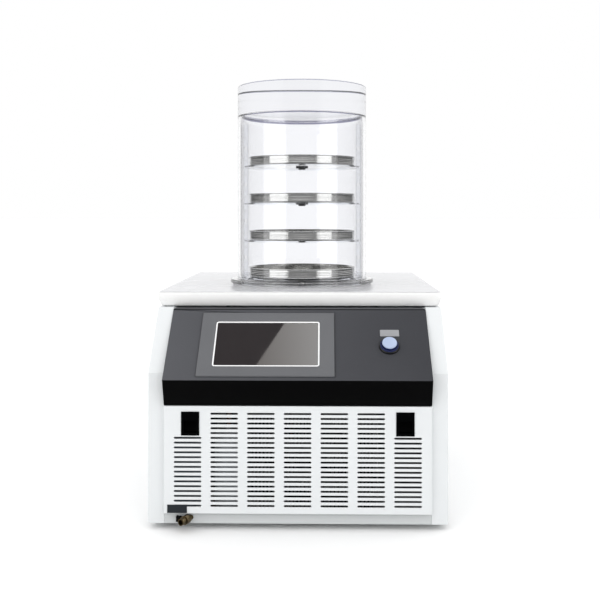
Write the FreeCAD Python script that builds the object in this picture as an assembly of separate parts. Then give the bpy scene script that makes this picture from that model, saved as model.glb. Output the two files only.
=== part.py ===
import FreeCAD, Part
import math
import os

# Benchtop freeze dryer: a sheet-steel cabinet with a sloping control console,
# a refrigerated cold trap under its deck, and a clear drying bell with a tray
# rack standing over the trap's mouth.
#
# The cabinet is drawn in its own frame: X to the right, Y backwards from the
# front edge of the side panels, Z up from the underside of the base pan.
# save() moves every piece to the part's frame, whose origin lies on the
# surface that the feet stand on, in the middle of the footprint.

# ---- driving dimensions, mm ----

# cabinet shell
cabinet_width = 460.0
cabinet_depth = 576.0
body_height = 322.4
slope_rise = 92.0            # height of a side panel's sloping front edge
slope_run = 87.2             # how far back that edge ends
sheet = 1.5
edge_flange = 25.0           # width of the side panels' folded edges
fold_radius = 1.5
seat_gap = 0.3               # between faces that lie on each other
inlay_gap = 0.1              # round a piece let into another
hole_gap = 0.5               # round a pipe that passes through a sheet
over = 10.0                  # how far a cutter reaches past the faces that it opens
tiny = 0.001
foot_height = 10.0
foot_radius = 17.0
foot_taper = 2.0
foot_inset = 60.0

# deck
deck_overhang = 2.0          # beyond the cabinet on each side
deck_setback = 5.4           # behind the end of the slope
deck_tail = 5.9              # beyond the cabinet's rear
deck_height = 24.8
deck_return = 18.0           # inward fold at the bottom of the deck's lip
deck_edge_radius = 4.5

# console, its points taken from the side panels' outline
console_top_setback = 2.0    # in front of the end of the slope
console_top_rise = 0.8       # above the body's top
console_ridge_y = -24.0
console_ridge_drop = 6.4     # below the nose
console_foot_y = -8.0
console_foot_drop = 48.0     # below the nose
console_wall = 2.5
console_depth = 12.0         # how far its rim reaches in behind the face
console_corner = 8.0
console_lap = 5.0            # how far it reaches up behind the front rail
rail_lift = 2.0              # front rail above the console's foot
rail_height = 22.0
rail_depth = 30.0
upper_rail_setback = 2.6     # upper rail behind the deck's edge

# display, measured on the console's sloping face
display_x = -49.0
display_width = 212.0
display_drop = 13.4          # from the console's top edge to the bezel
display_foot = 5.8           # from the bezel to the console's ridge
bezel_thickness = 3.0
bezel_corner = 1.5
bezel_bevel = 1.2
window_width = 160.3
window_height = 85.4
window_drop = 35.6           # from the console's top edge to the window
window_rim = 2.2
window_corner = 1.8
trim_recess = 0.6            # below the bezel's front
glass_recess = 1.2
module_depth = 28.0
module_margin = 8.0
plug_width = 60.0
plug_height = 12.0
plug_depth = 8.0
plug_rise = 20.0             # from the module's lower edge
plug_corner = 1.5

# start button
button_x = 142.0
button_drop = 81.2
button_cap_radius = 12.0
button_cap_height = 10.0     # of its crown above the console
button_cap_round = 2.5
button_ring_radius = 16.5
button_ring_height = 3.0
button_ring_taper = 1.5
button_ring_recess = 1.5
button_stem_radius = 9.0
button_neck_wall = 2.0
button_neck_length = 14.0
button_stem_end = 10.0       # how deep the stem reaches when the button is down
button_travel = 3.0
switch_side = 30.0
switch_length = 30.0
switch_corner = 3.0
nameplate_width = 30.0
nameplate_height = 13.0
nameplate_drop = 55.3
nameplate_shift = 1.5        # to the right of the button's axis
nameplate_thickness = 1.0
nameplate_corner = 1.0

# ventilated door
door_bottom = 17.2
door_top_gap = 0.8           # below the console's foot
door_proud = 8.0
door_edge_radius = 1.0
slot_columns = 7
slot_rows = 20
slot_length = 42.0
slot_height = 3.1
slot_margin = 15.7           # from the door's side edges to the outer slots
slot_rise = 12.3             # the lowest row above the door's bottom edge
slot_head = 11.69            # the highest row below the door's top edge
hinge_y = -3.5
hinge_rise = 4.4             # above the door's bottom edge
hinge_x = 150.0
hinge_pin_radius = 1.5
running_fit = 0.05           # radial play of a pin or shaft in its bore
hinge_barrel_radius = 2.6
hinge_barrel_length = 12.0
hinge_ear = 5.0
hinge_ear_relief = 0.1       # an ear's radius is this much under the barrel's
hinge_pin_short = 0.5        # pin's end inside the ear's outer face
hinge_tab_rise = 2.0         # of the pan's tabs above the barrels
pull_margin = 40.7           # from the door's side edge to the pull's middle
pull_drop = 26.8             # from the door's top edge to the pull's middle
pull_width = 28.0
pull_height = 36.5
pull_rim = 2.5
pull_proud = 1.2
pull_edge_radius = 0.5
pull_wall = 1.5
pull_depth = 12.0
pull_mouth_rise = 4.0        # top of the finger opening above the pull's middle
pull_gap = 0.2               # round the cup in the door's cut-out
label_width = 30.0
label_height = 12.5
label_thickness = 0.8
label_margin = 20.7          # from the door's left edge to the tile's middle
label_rise = 7.4             # from the door's bottom edge to the tile's middle
catch_width = 24.0
catch_height = 7.0           # below the door's top
catch_depth = 14.0

# trays and their rack, measured from the deck's top
tray_levels = 4
tray_pitch = 65.6
tray_first_floor = 15.0
tray_height = 17.0
tray_sheet = 1.0
tray_rim = 1.0               # outward rim beyond the tray's wall
tray_bend = 2.0              # inner radius between floor and wall
tray_gap = 2.5               # between a tray's rim and the uprights
tray_hub_radius = 11.0
tray_hub_drop = 5.0
shelf_width = 16.0
shelf_inset = 3.5            # inside the uprights' outer edges
shelf_thickness = 2.5
upright_width = 9.0
upright_thickness = 4.0
upright_rise = 76.2          # above the top tray's floor
upright_bite = 2.5           # how deep a shelf is let into an upright
upright_holes = ((11.0, 1.5), (24.5, 1.5), (33.6, 3.5), (52.0, 1.5))   # (lift, radius)
rack_foot_inset = 2.0        # inside the uprights' outer edges
rack_foot_width = 16.5
rack_foot_thickness = 4.0

# drying bell
bell_setback = 161.4         # from the deck's front edge to the bell's axis
bell_radius = 116.0
bell_wall = 6.5
bell_crown = 52.0            # thickness of the solid top
bell_headroom = 15.0         # between the uprights and the crown
bell_side_room = 2.0         # between the uprights and the bell's wall
bell_edge_radius = 3.0
bell_flange_width = 12.5
bell_flange_height = 7.0
bell_flange_round = 2.0
gasket_height = 4.0
gasket_inset = 4.5           # inside the flange's edge
gasket_gap = 1.0             # outside the well's lip

# cold trap
trap_depth = 150.0
trap_wall = 1.5
trap_lip_width = 11.0
trap_lip_margin = 0.5        # beyond the rack's foot
trap_floor_radius = 5.0
trap_drain_x = -20.0
spout_wall = 1.0
coil_tube_radius = 4.5
coil_turns = 7
coil_first = 10.0            # above the well's floor
coil_headroom = 15.9         # between its top turn and the side spout
coil_header_radius = 4.3
foam_thickness = 30.0
foam_floor = 22.0

# refrigeration and air
pipe_radius = 4.0
compressor_x = 95.0
compressor_rear_gap = 121.0  # from its axis to the cabinet's rear
compressor_radius = 72.0
compressor_headroom = 12.0   # below the trap's foam
compressor_dome = 34.0
compressor_stub = 8.0        # length of its pipe stubs beyond the shell
suction_offset = 30.0        # of the suction stub from the compressor's axis
foot_plate = 3.0
foot_plate_margin = 4.0
foot_plate_ratio = 0.8       # its depth over its width
terminal_reach = 22.0
terminal_width = 50.0
terminal_height = 50.0
terminal_lift = 70.0
mount_height = 12.0
mount_radius = 9.0
mount_inset = 8.0            # inside the shell's outline
tube_rows = 5
tube_first = 18.0            # from the condenser's lower and upper edges
tube_fit = 0.1
tube_tail = 8.0              # of the lowest tube beyond the left end plate
tube_head = 14.0             # of the highest tube beyond the right end plate
fin_thickness = 1.0
fin_pitch = 6.0
condenser_left = -84.0
condenser_right = 126.0
condenser_front = 52.0
condenser_depth = 32.0
condenser_height = 140.0
condenser_clearance = 3.0
fan_margin = 8.0             # inside the condenser's height
fan_gap = 2.0
fan_shroud_depth = 26.0
fan_blades = 5
fan_reach = 9.0              # of the rotor's front inside the shroud
hub_radius = 18.0
hub_gap = 1.5                # between the rotor and the motor
blade_width = 22.0
blade_thickness = 1.8
blade_root = 3.0             # let into the hub
blade_pitch = 32.0           # degrees
motor_radius = 24.0
motor_length = 46.0
motor_gap = 8.0              # behind the shroud
motor_round = 2.0
motor_shaft_radius = 3.0
shaft_short = 2.0            # shaft's end beyond the rotor's front
motor_fit = 0.1
bracket_setback = 6.0        # from the motor's front to the ring round it
bracket_width = 10.0
bracket_wall = 4.0
bracket_angle = 30.0         # degrees, the arms above and below level
bracket_arm_radius = 3.0
bracket_post_radius = 4.0
bracket_post_margin = 7.0    # from the shroud's mouth to the post's axis
dryer_gap = 4.0              # left of the condenser
dryer_radius = 22.0
dryer_height = 120.0
dryer_round = 9.0
dryer_foot = 12.0
dryer_post_radius = 9.0
dryer_stub = 10.0
stub_wall = 1.0
line_bend = 14.0
liquid_bend = 12.0
outlet_run = 6.0             # from the condenser's tube to the filter-dryer
outlet_bend = 5.5
discharge_front = 45.0       # how far the discharge line runs before it turns
discharge_side = 40.0        # right of the condenser
liquid_side = 26.0           # left of the jacket's stub
stub_reach = 6.0             # of the coil's stubs beyond the foam

# electrics
control_box_gap = 14.5       # from the cabinet's left wall
control_box_width = 62.0
control_box_front = 60.0
control_box_depth = 180.0
control_box_height = 120.0
board_stand = 6.0
board_margin = 10.0
board_thickness = 1.6
board_post_radius = 3.0
board_post_inset = 6.0
relay_count = 4
relay_width = 18.0
relay_pitch = 24.0
relay_height = 26.0
relay_depth = 17.4
relay_lift = 60.0
relay_first = 12.0
supply_width = 94.0
supply_height = 38.0
supply_depth = 30.4
supply_lift = 10.0
supply_first = 16.0

# rear connections
vent_rows = 10
vent_pitch = 14.0
vent_length = 110.0
vent_height = 5.0
vent_first = 60.0
rear_gap = 0.2               # round what passes through the rear panel
port_x = -60.0
port_z = 215.0
port_bore = 13.0             # small-flange port, 26 mm bore
port_wall = 1.6
pipe_step = 0.5              # the pipe's bore is this much smaller
port_flange_radius = 20.0
port_flange_thickness = 3.0
port_reach = 30.0            # beyond the cabinet's rear
port_length = 60.0
vacuum_bend = 28.0
vacuum_drop = 25.5           # from the deck's top to the well's side spout
vacuum_stub = 5.0            # of that spout beyond the foam
inlet_x = -150.0
inlet_z = 60.0
inlet_width = 30.0
inlet_height = 58.0
inlet_flange = 2.0
inlet_lip = 2.0              # flange beyond the cut-out
inlet_depth = 30.0
socket_width = 24.4
socket_height = 17.0
socket_depth = 18.0
socket_rise = 7.0            # above the flange's lower edge
socket_pins = ((-7.0, 0.0), (7.0, 0.0), (0.0, 4.0))   # (across, up)
pin_width = 2.0
pin_height = 4.0
pin_setback = 1.5
rocker_height = 22.0
rocker_width = 13.0
rocker_fit = 0.4
rocker_end_gap = 1.5
rocker_drop = 6.0            # below the flange's upper edge
rocker_recess = 14.0
rocker_axis_depth = 4.0
rocker_tilt = 7.0            # degrees each side of the middle
rocker_proud = 7.0           # its ends in front of the axis
rocker_waist = 5.6           # its middle in front of the axis
rocker_thickness = 5.0
rocker_keel = 3.0            # its middle behind the axis
screw_radius = 3.5
screw_head = 2.0
screw_round = 1.0
screw_inset = 8.0

# drain valve, drawn along its own axis
valve_x = -165.0
valve_drop = 8.2             # below the door's bottom edge
valve_yaw = -25.0            # degrees, outlet turned to the left
valve_length = 26.0
valve_neck_radius = 4.0
valve_nut_start = 4.5        # from the pan's lip
valve_nut_length = 5.0
valve_nut_flats = 11.6
valve_knob_centre = 13.5
valve_body_radius = 6.8
valve_outlet_radius = 5.2
valve_outlet_bore = 4.0
valve_outlet_length = 9.0
valve_stem_radius = 2.0
valve_stem_floor = 1.0       # left between the stem's bore and the waterway
valve_boss_radius = 3.4
valve_boss_reach = 7.8       # from the valve's axis
valve_way_radius = 2.5
valve_tail = 12.0            # length behind the pan's lip
valve_knob_radius = 5.0
valve_knob_length = 7.0
valve_knob_grip = 3.2        # half the thickness between its flats
valve_knob_collar = 2.5      # length left round at its root
drain_bend = 12.0
drain_run = 40.0             # straight length behind the valve
drain_low = 6.0              # its low run above the valve's axis
drain_rise = 30.0            # its turn upwards above the valve's axis
drain_turn_y = 60.0          # that turn in front of the bell's axis

# ---- values that follow ----

half_width = cabinet_width / 2.0
nose_height = body_height - slope_rise
inner_half = half_width - sheet
mouth_half = half_width - edge_flange
front_half = mouth_half - seat_gap
rear_face = cabinet_depth - sheet - seat_gap
deck_front = slope_run + deck_setback
deck_rear = cabinet_depth + deck_tail
deck_bottom = body_height + seat_gap
deck_top = deck_bottom + deck_height

console_top_y = slope_run - console_top_setback
console_top_z = body_height + console_top_rise
console_ridge_z = nose_height - console_ridge_drop
console_foot_z = nose_height - console_foot_drop
console_angle = math.degrees(math.atan2(console_top_z - console_ridge_z,
                                        console_top_y - console_ridge_y))
rail_foot = console_foot_z + rail_lift
console_length = math.hypot(console_top_y - console_ridge_y, console_top_z - console_ridge_z)
display_height = console_length - display_drop - display_foot
module_width = display_width - 2 * module_margin
module_height = display_height - 2 * module_margin
display_middle = display_drop + display_height / 2
window_middle = window_drop + window_height / 2
button_neck_radius = button_stem_radius + button_neck_wall

door_top = console_foot_z - door_top_gap
hinge_z = door_bottom + hinge_rise
pull_x = front_half - pull_margin
pull_z = door_top - pull_drop
label_x = label_margin - front_half
label_z = door_bottom + label_rise
slot_pitch_x = 2 * (front_half - slot_margin - slot_length / 2) / (slot_columns - 1)
slot_pitch_z = (door_top - slot_head - door_bottom - slot_rise) / (slot_rows - 1)
valve_z = door_bottom - valve_drop

bell_y = deck_front + bell_setback
bell_inner = bell_radius - bell_wall
bell_flange_radius = bell_radius + bell_flange_width
upright_outer_x = bell_inner - bell_side_room
upright_inner_x = upright_outer_x - upright_width
upright_top = tray_first_floor + (tray_levels - 1) * tray_pitch + upright_rise
bell_height = upright_top + bell_headroom + bell_crown
shelf_outer_radius = upright_outer_x - shelf_inset
shelf_inner_radius = shelf_outer_radius - shelf_width
tray_radius = upright_inner_x - tray_gap
rack_foot_outer_radius = upright_outer_x - rack_foot_inset
rack_foot_inner_radius = rack_foot_outer_radius - rack_foot_width
rack_foot_base = deck_top + trap_wall
rack_foot_top = rack_foot_base + rack_foot_thickness
trap_lip_radius = rack_foot_outer_radius + trap_lip_margin
trap_radius = trap_lip_radius - trap_lip_width
gasket_radius = bell_flange_radius - gasket_inset
gasket_bore = trap_lip_radius + gasket_gap
flange_base = deck_top + gasket_height

trap_bottom = deck_top - trap_depth
coil_radius = trap_radius + trap_wall + coil_tube_radius + seat_gap
coil_low = trap_bottom + coil_first
vacuum_z = deck_top - vacuum_drop
coil_top = vacuum_z - port_bore - port_wall - coil_headroom
coil_pitch = (coil_top - coil_low) / (coil_turns - 1)
foam_inner = coil_radius + coil_tube_radius + seat_gap
foam_outer = foam_inner + foam_thickness
foam_bottom = trap_bottom - foam_floor
jacket_rear = bell_y + foam_outer + vacuum_stub
jacket_left = -foam_outer - stub_reach

compressor_y = cabinet_depth - compressor_rear_gap
compressor_base = sheet + mount_height
compressor_height = foam_bottom - compressor_headroom - compressor_base
discharge_y = compressor_y - compressor_radius - compressor_stub
suction_x = compressor_x - suction_offset
suction_foot = compressor_base + compressor_height + compressor_stub
condenser_base = sheet + condenser_clearance
tube_y = condenser_front + condenser_depth / 2
tube_pitch = (condenser_height - 2 * tube_first) / (tube_rows - 1)
line_z = condenser_base + tube_first + (tube_rows - 1) * tube_pitch
fan_x = (condenser_left + condenser_right) / 2.0
fan_radius = condenser_height / 2.0 - fan_margin
fan_z = condenser_base + condenser_height / 2.0
shroud_front = condenser_front + condenser_depth
shroud_rear = shroud_front + fan_shroud_depth
motor_front = shroud_rear + motor_gap
fan_front = shroud_rear - fan_reach
fan_rear = motor_front - hub_gap
dryer_x = condenser_left - dryer_gap - dryer_radius
dryer_y = tube_y - outlet_run - dryer_radius
dryer_base = sheet + dryer_foot
dryer_top = dryer_base + dryer_height + dryer_stub
control_box_left = control_box_gap - inner_half

rear_panel_y = rear_face - sheet
port_end = cabinet_depth + port_reach
port_start = port_end - port_length
vacuum_drop_y = (jacket_rear + port_start) / 2
socket_low = inlet_z - inlet_height / 2 + socket_rise
rocker_z = inlet_z + inlet_height / 2 - rocker_height / 2 - rocker_drop

valve_turn = math.radians(valve_yaw)
valve_reach = valve_outlet_radius * math.sin(valve_turn) - valve_length * math.cos(valve_turn)
front_reach = min(console_ridge_y, valve_reach)
centre_y = (front_reach + port_end) / 2.0


def vec(x, y, z):
    return FreeCAD.Vector(x, y, z)


def box(x0, x1, y0, y1, z0, z1):
    return Part.makeBox(x1 - x0, y1 - y0, z1 - z0, vec(x0, y0, z0))


def rod(radius, start, end):
    way = end - start
    return Part.makeCylinder(radius, way.Length, start, way)


def tube(outer, inner, start, end):
    return rod(outer, start, end).cut(rod(inner, start, end))


def plan_ring(outer, inner, y, z0, z1):
    """A flat ring round the bell's axis."""
    return tube(outer, inner, vec(0, y, z0), vec(0, y, z1))


def side_profile(points, x0, x1):
    """A prism along X from an outline given as (y, z) points."""
    corners = [vec(x0, y, z) for y, z in points]
    face = Part.Face(Part.makePolygon(corners + [corners[0]]))
    return face.extrude(vec(x1 - x0, 0, 0))


def inset(points, distances):
    """The outline with each edge moved inwards by its own distance.
    Points run so that the inside lies to the left of each edge."""
    lines = []
    for i, (start, distance) in enumerate(zip(points, distances)):
        end = points[(i + 1) % len(points)]
        length = math.hypot(end[0] - start[0], end[1] - start[1])
        way = ((end[0] - start[0]) / length, (end[1] - start[1]) / length)
        base = (start[0] - way[1] * distance, start[1] + way[0] * distance)
        lines.append((base, way))
    corners = []
    for i, (base, way) in enumerate(lines):
        last_base, last_way = lines[i - 1]
        cross = last_way[0] * way[1] - last_way[1] * way[0]
        along = ((base[0] - last_base[0]) * way[1] - (base[1] - last_base[1]) * way[0]) / cross
        corners.append((last_base[0] + last_way[0] * along, last_base[1] + last_way[1] * along))
    return corners


def rounded_plate(width, height, thickness, radius):
    """A plate centred on the origin in X and Y, its back face at Z = 0."""
    plate = box(-width / 2, width / 2, -height / 2, height / 2, 0, thickness)
    upright = [e for e in plate.Edges if abs(e.Vertexes[0].Z - e.Vertexes[-1].Z) > thickness / 2]
    return plate.makeFillet(radius, upright)


def hexagon(flats, start, end):
    """A hexagonal prism between two points, given its width across flats."""
    corner = flats / math.sqrt(3.0)
    points = [vec(corner * math.cos(math.radians(60 * k)), corner * math.sin(math.radians(60 * k)), 0)
              for k in range(7)]
    prism = Part.Face(Part.makePolygon(points)).extrude(vec(0, 0, (end - start).Length))
    prism.Placement = FreeCAD.Placement(start, FreeCAD.Rotation(vec(0, 0, 1), end - start))
    return prism


def pipe_run(points, radius, bend):
    """A round pipe along straight runs joined by tangent arcs."""
    edges = []
    here = points[0]
    for i in range(1, len(points) - 1):
        corner = points[i]
        back = (points[i - 1] - corner).normalize()
        ahead = (points[i + 1] - corner).normalize()
        half_turn = (math.pi - back.getAngle(ahead)) / 2.0
        setback = bend * math.tan(half_turn)
        enter = corner + back * setback
        leave = corner + ahead * setback
        inward = (back + ahead).normalize()
        middle = corner + inward * (bend / math.cos(half_turn) - bend)
        edges.append(Part.LineSegment(here, enter).toShape())
        edges.append(Part.Arc(enter, middle, leave).toShape())
        here = leave
    edges.append(Part.LineSegment(here, points[-1]).toShape())
    path = Part.Wire(edges)
    start_way = points[1] - points[0]
    section = Part.Wire([Part.Circle(points[0], start_way, radius).toShape()])
    return path.makePipeShell([section], True, True)


def on_face(shape, x, drop, out=0.0):
    """Move a shape drawn flat (X across, Y up the slope, Z outwards) onto the
    console's face, at a distance down from its top edge."""
    tilt = FreeCAD.Rotation(vec(1, 0, 0), console_angle)
    top = vec(0, console_top_y, console_top_z)
    place = top + tilt.multVec(vec(x, -drop, out))
    moved = shape.copy()
    moved.Placement = FreeCAD.Placement(place, tilt).multiply(shape.Placement)
    return moved


def on_valve(shape):
    """Move a shape drawn along -Y from the origin onto the drain valve's axis."""
    turn = FreeCAD.Rotation(vec(0, 0, 1), valve_yaw)
    moved = shape.copy()
    moved.Placement = FreeCAD.Placement(vec(valve_x, 0, valve_z), turn).multiply(shape.Placement)
    return moved


def join(shapes):
    whole = shapes[0].fuse(shapes[1:])
    return whole.removeSplitter()


def save(name, shape):
    os.makedirs("parts", exist_ok=True)
    placed = shape.copy()
    placed.translate(vec(0, -centre_y, foot_height))
    if not placed.isValid():
        raise ValueError(name + " is not a valid solid")
    placed.exportStep(os.path.join("parts", name + ".step"))


# ---- cabinet shell ----

def body_outline():
    return [(0, 0), (cabinet_depth, 0), (cabinet_depth, body_height),
            (slope_run, body_height), (0, nose_height)]


def side_panel():
    """A sheet whose front, sloping, top and rear edges are folded inwards."""
    outline = body_outline()
    blank = side_profile(outline, -half_width, -mouth_half)
    fold_edges = [e for e in blank.Edges
                  if max(v.X for v in e.Vertexes) < -half_width + tiny
                  and max(v.Z for v in e.Vertexes) > tiny]
    blank = blank.makeFillet(fold_radius, fold_edges)
    hollow = inset(outline, [-sheet, sheet, sheet, sheet, sheet])
    return blank.cut(side_profile(hollow, -half_width + sheet, -mouth_half + sheet))


def base_pan():
    """The floor of the cabinet, with upturned edges and two hinge tabs."""
    width = inner_half - seat_gap
    front_lip = door_bottom - seat_gap
    pan = box(-width, width, 0, rear_face, 0, front_lip)
    pan = pan.cut(box(-width + sheet, width - sheet, sheet, rear_face - sheet, sheet, front_lip))
    side_notch = box(-width, -mouth_half + seat_gap, 0, sheet + seat_gap, 0, front_lip)
    pan = pan.cut([side_notch, side_notch.mirror(vec(0, 0, 0), vec(1, 0, 0))])
    half = hinge_barrel_length / 2
    tab_top = hinge_z + hinge_barrel_radius + hinge_tab_rise
    tabs = [box(x - half, x + half, 0, sheet, sheet, tab_top) for x in (-hinge_x, hinge_x)]
    pan = join([pan] + tabs)
    hose_way = on_valve(rod(valve_neck_radius + hole_gap, vec(0, over, 0), vec(0, -over, 0)))
    return pan.cut(hose_way)


def feet():
    """Four tapered rubber feet under the base pan."""
    blocks = []
    for x in (-half_width + foot_inset, half_width - foot_inset):
        for y in (foot_inset, cabinet_depth - foot_inset):
            blocks.append(Part.makeCone(foot_radius - foot_taper, foot_radius, foot_height,
                                        vec(x, y, -foot_height), vec(0, 0, 1)))
    return Part.makeCompound(blocks)


def rear_panel():
    """The rear sheet between the side panels, with its cut-outs and vents."""
    width = inner_half - sheet - seat_gap
    panel = box(-width, width, rear_panel_y, rear_face, door_bottom, body_height - sheet - seat_gap)
    y0 = rear_panel_y - over
    y1 = rear_face + over
    half_cut = inlet_width / 2 - inlet_lip
    tall_cut = inlet_height / 2 - inlet_lip
    cuts = [rod(port_bore + port_wall + rear_gap, vec(port_x, y0, port_z), vec(port_x, y1, port_z)),
            box(inlet_x - half_cut, inlet_x + half_cut, y0, y1, inlet_z - tall_cut, inlet_z + tall_cut)]
    for row in range(vent_rows):
        z = vent_first + row * vent_pitch
        cuts.append(slot_cutter(compressor_x, z, vent_length, vent_height, y0, y1))
    return panel.cut(cuts)


def slot_cutter(x, z, length, height, y0, y1):
    """A horizontal slot with round ends, cut along Y."""
    r = height / 2
    half = length / 2 - r
    middle = box(x - half, x + half, y0, y1, z - r, z + r)
    ends = [rod(r, vec(x + side * half, y0, z), vec(x + side * half, y1, z)) for side in (-1, 1)]
    return middle.fuse(ends)


def front_rail():
    """The channel between the side panels that carries console and catches."""
    width = inner_half - seat_gap
    z1 = rail_foot + rail_height
    y0 = sheet + seat_gap
    rail = box(-width, width, y0, y0 + rail_depth, rail_foot, z1)
    return rail.cut(box(-width, width, y0 + sheet, y0 + rail_depth, rail_foot + sheet, z1 - sheet))


def upper_rail():
    """The channel that closes the gap between the console and the deck."""
    width = inner_half - seat_gap
    y0 = deck_front + upper_rail_setback
    z1 = body_height - sheet - seat_gap
    rail = box(-width, width, y0, y0 + rail_height, z1 - rail_height, z1)
    return rail.cut(box(-width, width, y0 + sheet, y0 + rail_height, z1 - rail_height, z1 - sheet))


def top_plate():
    """The deck: a folded pan with a full round edge and the trap's hole."""
    half = half_width + deck_overhang
    pan = box(-half, half, deck_front, deck_rear, deck_bottom, deck_top)
    pan = pan.makeFillet(deck_edge_radius, [e for e in pan.Edges])
    inside = box(-half + sheet, half - sheet, deck_front + sheet, deck_rear - sheet,
                 deck_bottom + sheet, deck_top - sheet)
    mouth = box(-half + deck_return, half - deck_return, deck_front + deck_return,
                deck_rear - deck_return, deck_bottom - over, deck_bottom + 2 * sheet)
    hole = rod(trap_radius + trap_wall + seat_gap, vec(0, bell_y, deck_top - over),
               vec(0, bell_y, deck_top + over))
    return pan.cut([inside, mouth, hole])


# ---- console ----

def console_outline():
    angle = math.radians(console_angle)
    rim = (console_top_y + console_depth * math.sin(angle), console_top_z - console_depth * math.cos(angle))
    return [(console_top_y, console_top_z), (console_ridge_y, console_ridge_z),
            (console_foot_y, console_foot_z), (sheet, console_foot_z),
            (sheet, rail_foot + rail_height + console_lap), rim]


def console():
    """The moulded wedge that holds the display and the button."""
    outline = console_outline()
    blank = side_profile(outline, -front_half, front_half)
    top_corners = [e for e in blank.Edges
                   if abs(e.Length - console_depth) < tiny
                   and abs(e.Vertexes[0].X - e.Vertexes[-1].X) < tiny]
    blank = blank.makeFillet(console_corner, top_corners)
    wall = console_wall
    hollow = inset(outline, [wall, wall, wall, -wall, -wall, wall])
    shell = blank.cut(side_profile(hollow, -front_half + wall, front_half - wall))
    half = module_width / 2 + seat_gap
    tall = module_height / 2 + seat_gap
    window = box(-half, half, -tall, tall, -over, over)
    button_hole = rod(button_neck_radius + seat_gap, vec(0, 0, -over), vec(0, 0, over))
    return shell.cut([on_face(window, display_x, display_middle),
                      on_face(button_hole, button_x, button_drop)])


def display_bezel():
    """The frame round the display, bevelled towards the window."""
    frame = rounded_plate(display_width, display_height, bezel_thickness, bezel_corner)
    rim = [e for e in frame.Edges if min(v.Z for v in e.Vertexes) > bezel_thickness - tiny]
    frame = frame.makeChamfer(bezel_bevel, rim)
    hole = rounded_plate(window_width + 2 * window_rim, window_height + 2 * window_rim,
                         bezel_thickness + 2 * over, window_corner + window_rim)
    hole.translate(vec(0, display_middle - window_middle, -over))
    return on_face(frame.cut(hole), display_x, display_middle)


def display_trim():
    """The bright rounded line round the window."""
    width = window_width + 2 * (window_rim - inlay_gap)
    height = window_height + 2 * (window_rim - inlay_gap)
    outer = rounded_plate(width, height, bezel_thickness - trim_recess, window_corner + window_rim)
    inner = rounded_plate(window_width, window_height, bezel_thickness + 2 * over, window_corner)
    inner.translate(vec(0, 0, -over))
    return on_face(outer.cut(inner), display_x, window_middle)


def display_glass():
    """The touch screen's front, a little below the bezel's."""
    glass = rounded_plate(window_width - 2 * inlay_gap, window_height - 2 * inlay_gap,
                          bezel_thickness - glass_recess, window_corner - inlay_gap)
    return on_face(glass, display_x, window_middle)


def display_module():
    """The display's housing, which hangs behind the console's face."""
    block = rounded_plate(module_width, module_height, module_depth, window_corner)
    block.translate(vec(0, 0, -module_depth))
    plug = rounded_plate(plug_width, plug_height, plug_depth, plug_corner)
    plug.translate(vec(0, plug_rise - module_height / 2, -module_depth - plug_depth))
    return on_face(block.fuse(plug), display_x, display_middle)


def button_ring():
    """The collar round the start button, with its threaded neck."""
    collar = Part.makeCone(button_ring_radius, button_ring_radius - button_ring_taper, button_ring_height)
    neck = rod(button_neck_radius, vec(0, 0, -button_neck_length), vec(0, 0, 0))
    well = rod(button_cap_radius + seat_gap, vec(0, 0, button_ring_height - button_ring_recess),
               vec(0, 0, button_ring_height + over))
    bore = rod(button_stem_radius + seat_gap, vec(0, 0, -button_neck_length - over),
               vec(0, 0, button_ring_height + over))
    return on_face(collar.fuse(neck).cut([well, bore]), button_x, button_drop)


def button_cap():
    """The button's domed cap and the stem that slides in the collar."""
    base = button_ring_height - button_ring_recess + button_travel + seat_gap
    skirt = rod(button_cap_radius, vec(0, 0, base), vec(0, 0, button_cap_height))
    rim = [e for e in skirt.Edges if min(v.Z for v in e.Vertexes) > button_cap_height - tiny]
    skirt = skirt.makeFillet(button_cap_round, rim)
    stem = rod(button_stem_radius, vec(0, 0, button_travel - button_stem_end),
               vec(0, 0, button_cap_height - button_cap_round))
    return on_face(join([skirt, stem]), button_x, button_drop)


def button_switch():
    """The contact block behind the button."""
    block = rounded_plate(switch_side, switch_side, switch_length, switch_corner)
    block.translate(vec(0, 0, -button_neck_length - switch_length))
    return on_face(block, button_x, button_drop)


def button_nameplate():
    """The bare plate over the button."""
    plate = rounded_plate(nameplate_width, nameplate_height, nameplate_thickness, nameplate_corner)
    return on_face(plate, button_x + nameplate_shift, nameplate_drop)


# ---- door ----

def slot_heights(column):
    """The rows of one column of slots; the outer columns end below the pulls."""
    rows = [door_bottom + slot_rise + row * slot_pitch_z for row in range(slot_rows)]
    if column in (0, slot_columns - 1):
        rows = [z for z in rows if z + slot_height / 2 < pull_z - pull_height / 2]
    return rows


def door():
    """The ventilated front door: a shallow pan with slots and hinge ears."""
    half = front_half
    pan = box(-half, half, -door_proud, -seat_gap, door_bottom, door_top)
    front_rim = [e for e in pan.Edges if max(v.Y for v in e.Vertexes) < -door_proud + tiny]
    pan = pan.makeFillet(door_edge_radius, front_rim)
    inside = box(-half + sheet, half - sheet, -door_proud + sheet, over,
                 door_bottom + sheet, door_top - sheet)
    heel = box(-half - over, half + over, -door_proud + 2 * sheet, over, door_bottom - over, hinge_z)
    pan = pan.cut([inside, heel])
    y0 = -door_proud - over
    y1 = -door_proud + 2 * sheet
    cutters = []
    for column in range(slot_columns):
        x = (column - (slot_columns - 1) / 2) * slot_pitch_x
        for z in slot_heights(column):
            cutters.append(slot_cutter(x, z, slot_length, slot_height, y0, y1))
    w = pull_width / 2 - pull_rim
    h = pull_height / 2 - pull_rim
    for x in (-pull_x, pull_x):
        cutters.append(box(x - w, x + w, y0, y1, pull_z - h, pull_z + h))
    pan = pan.cut(cutters)
    return join([pan] + door_ears())


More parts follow.
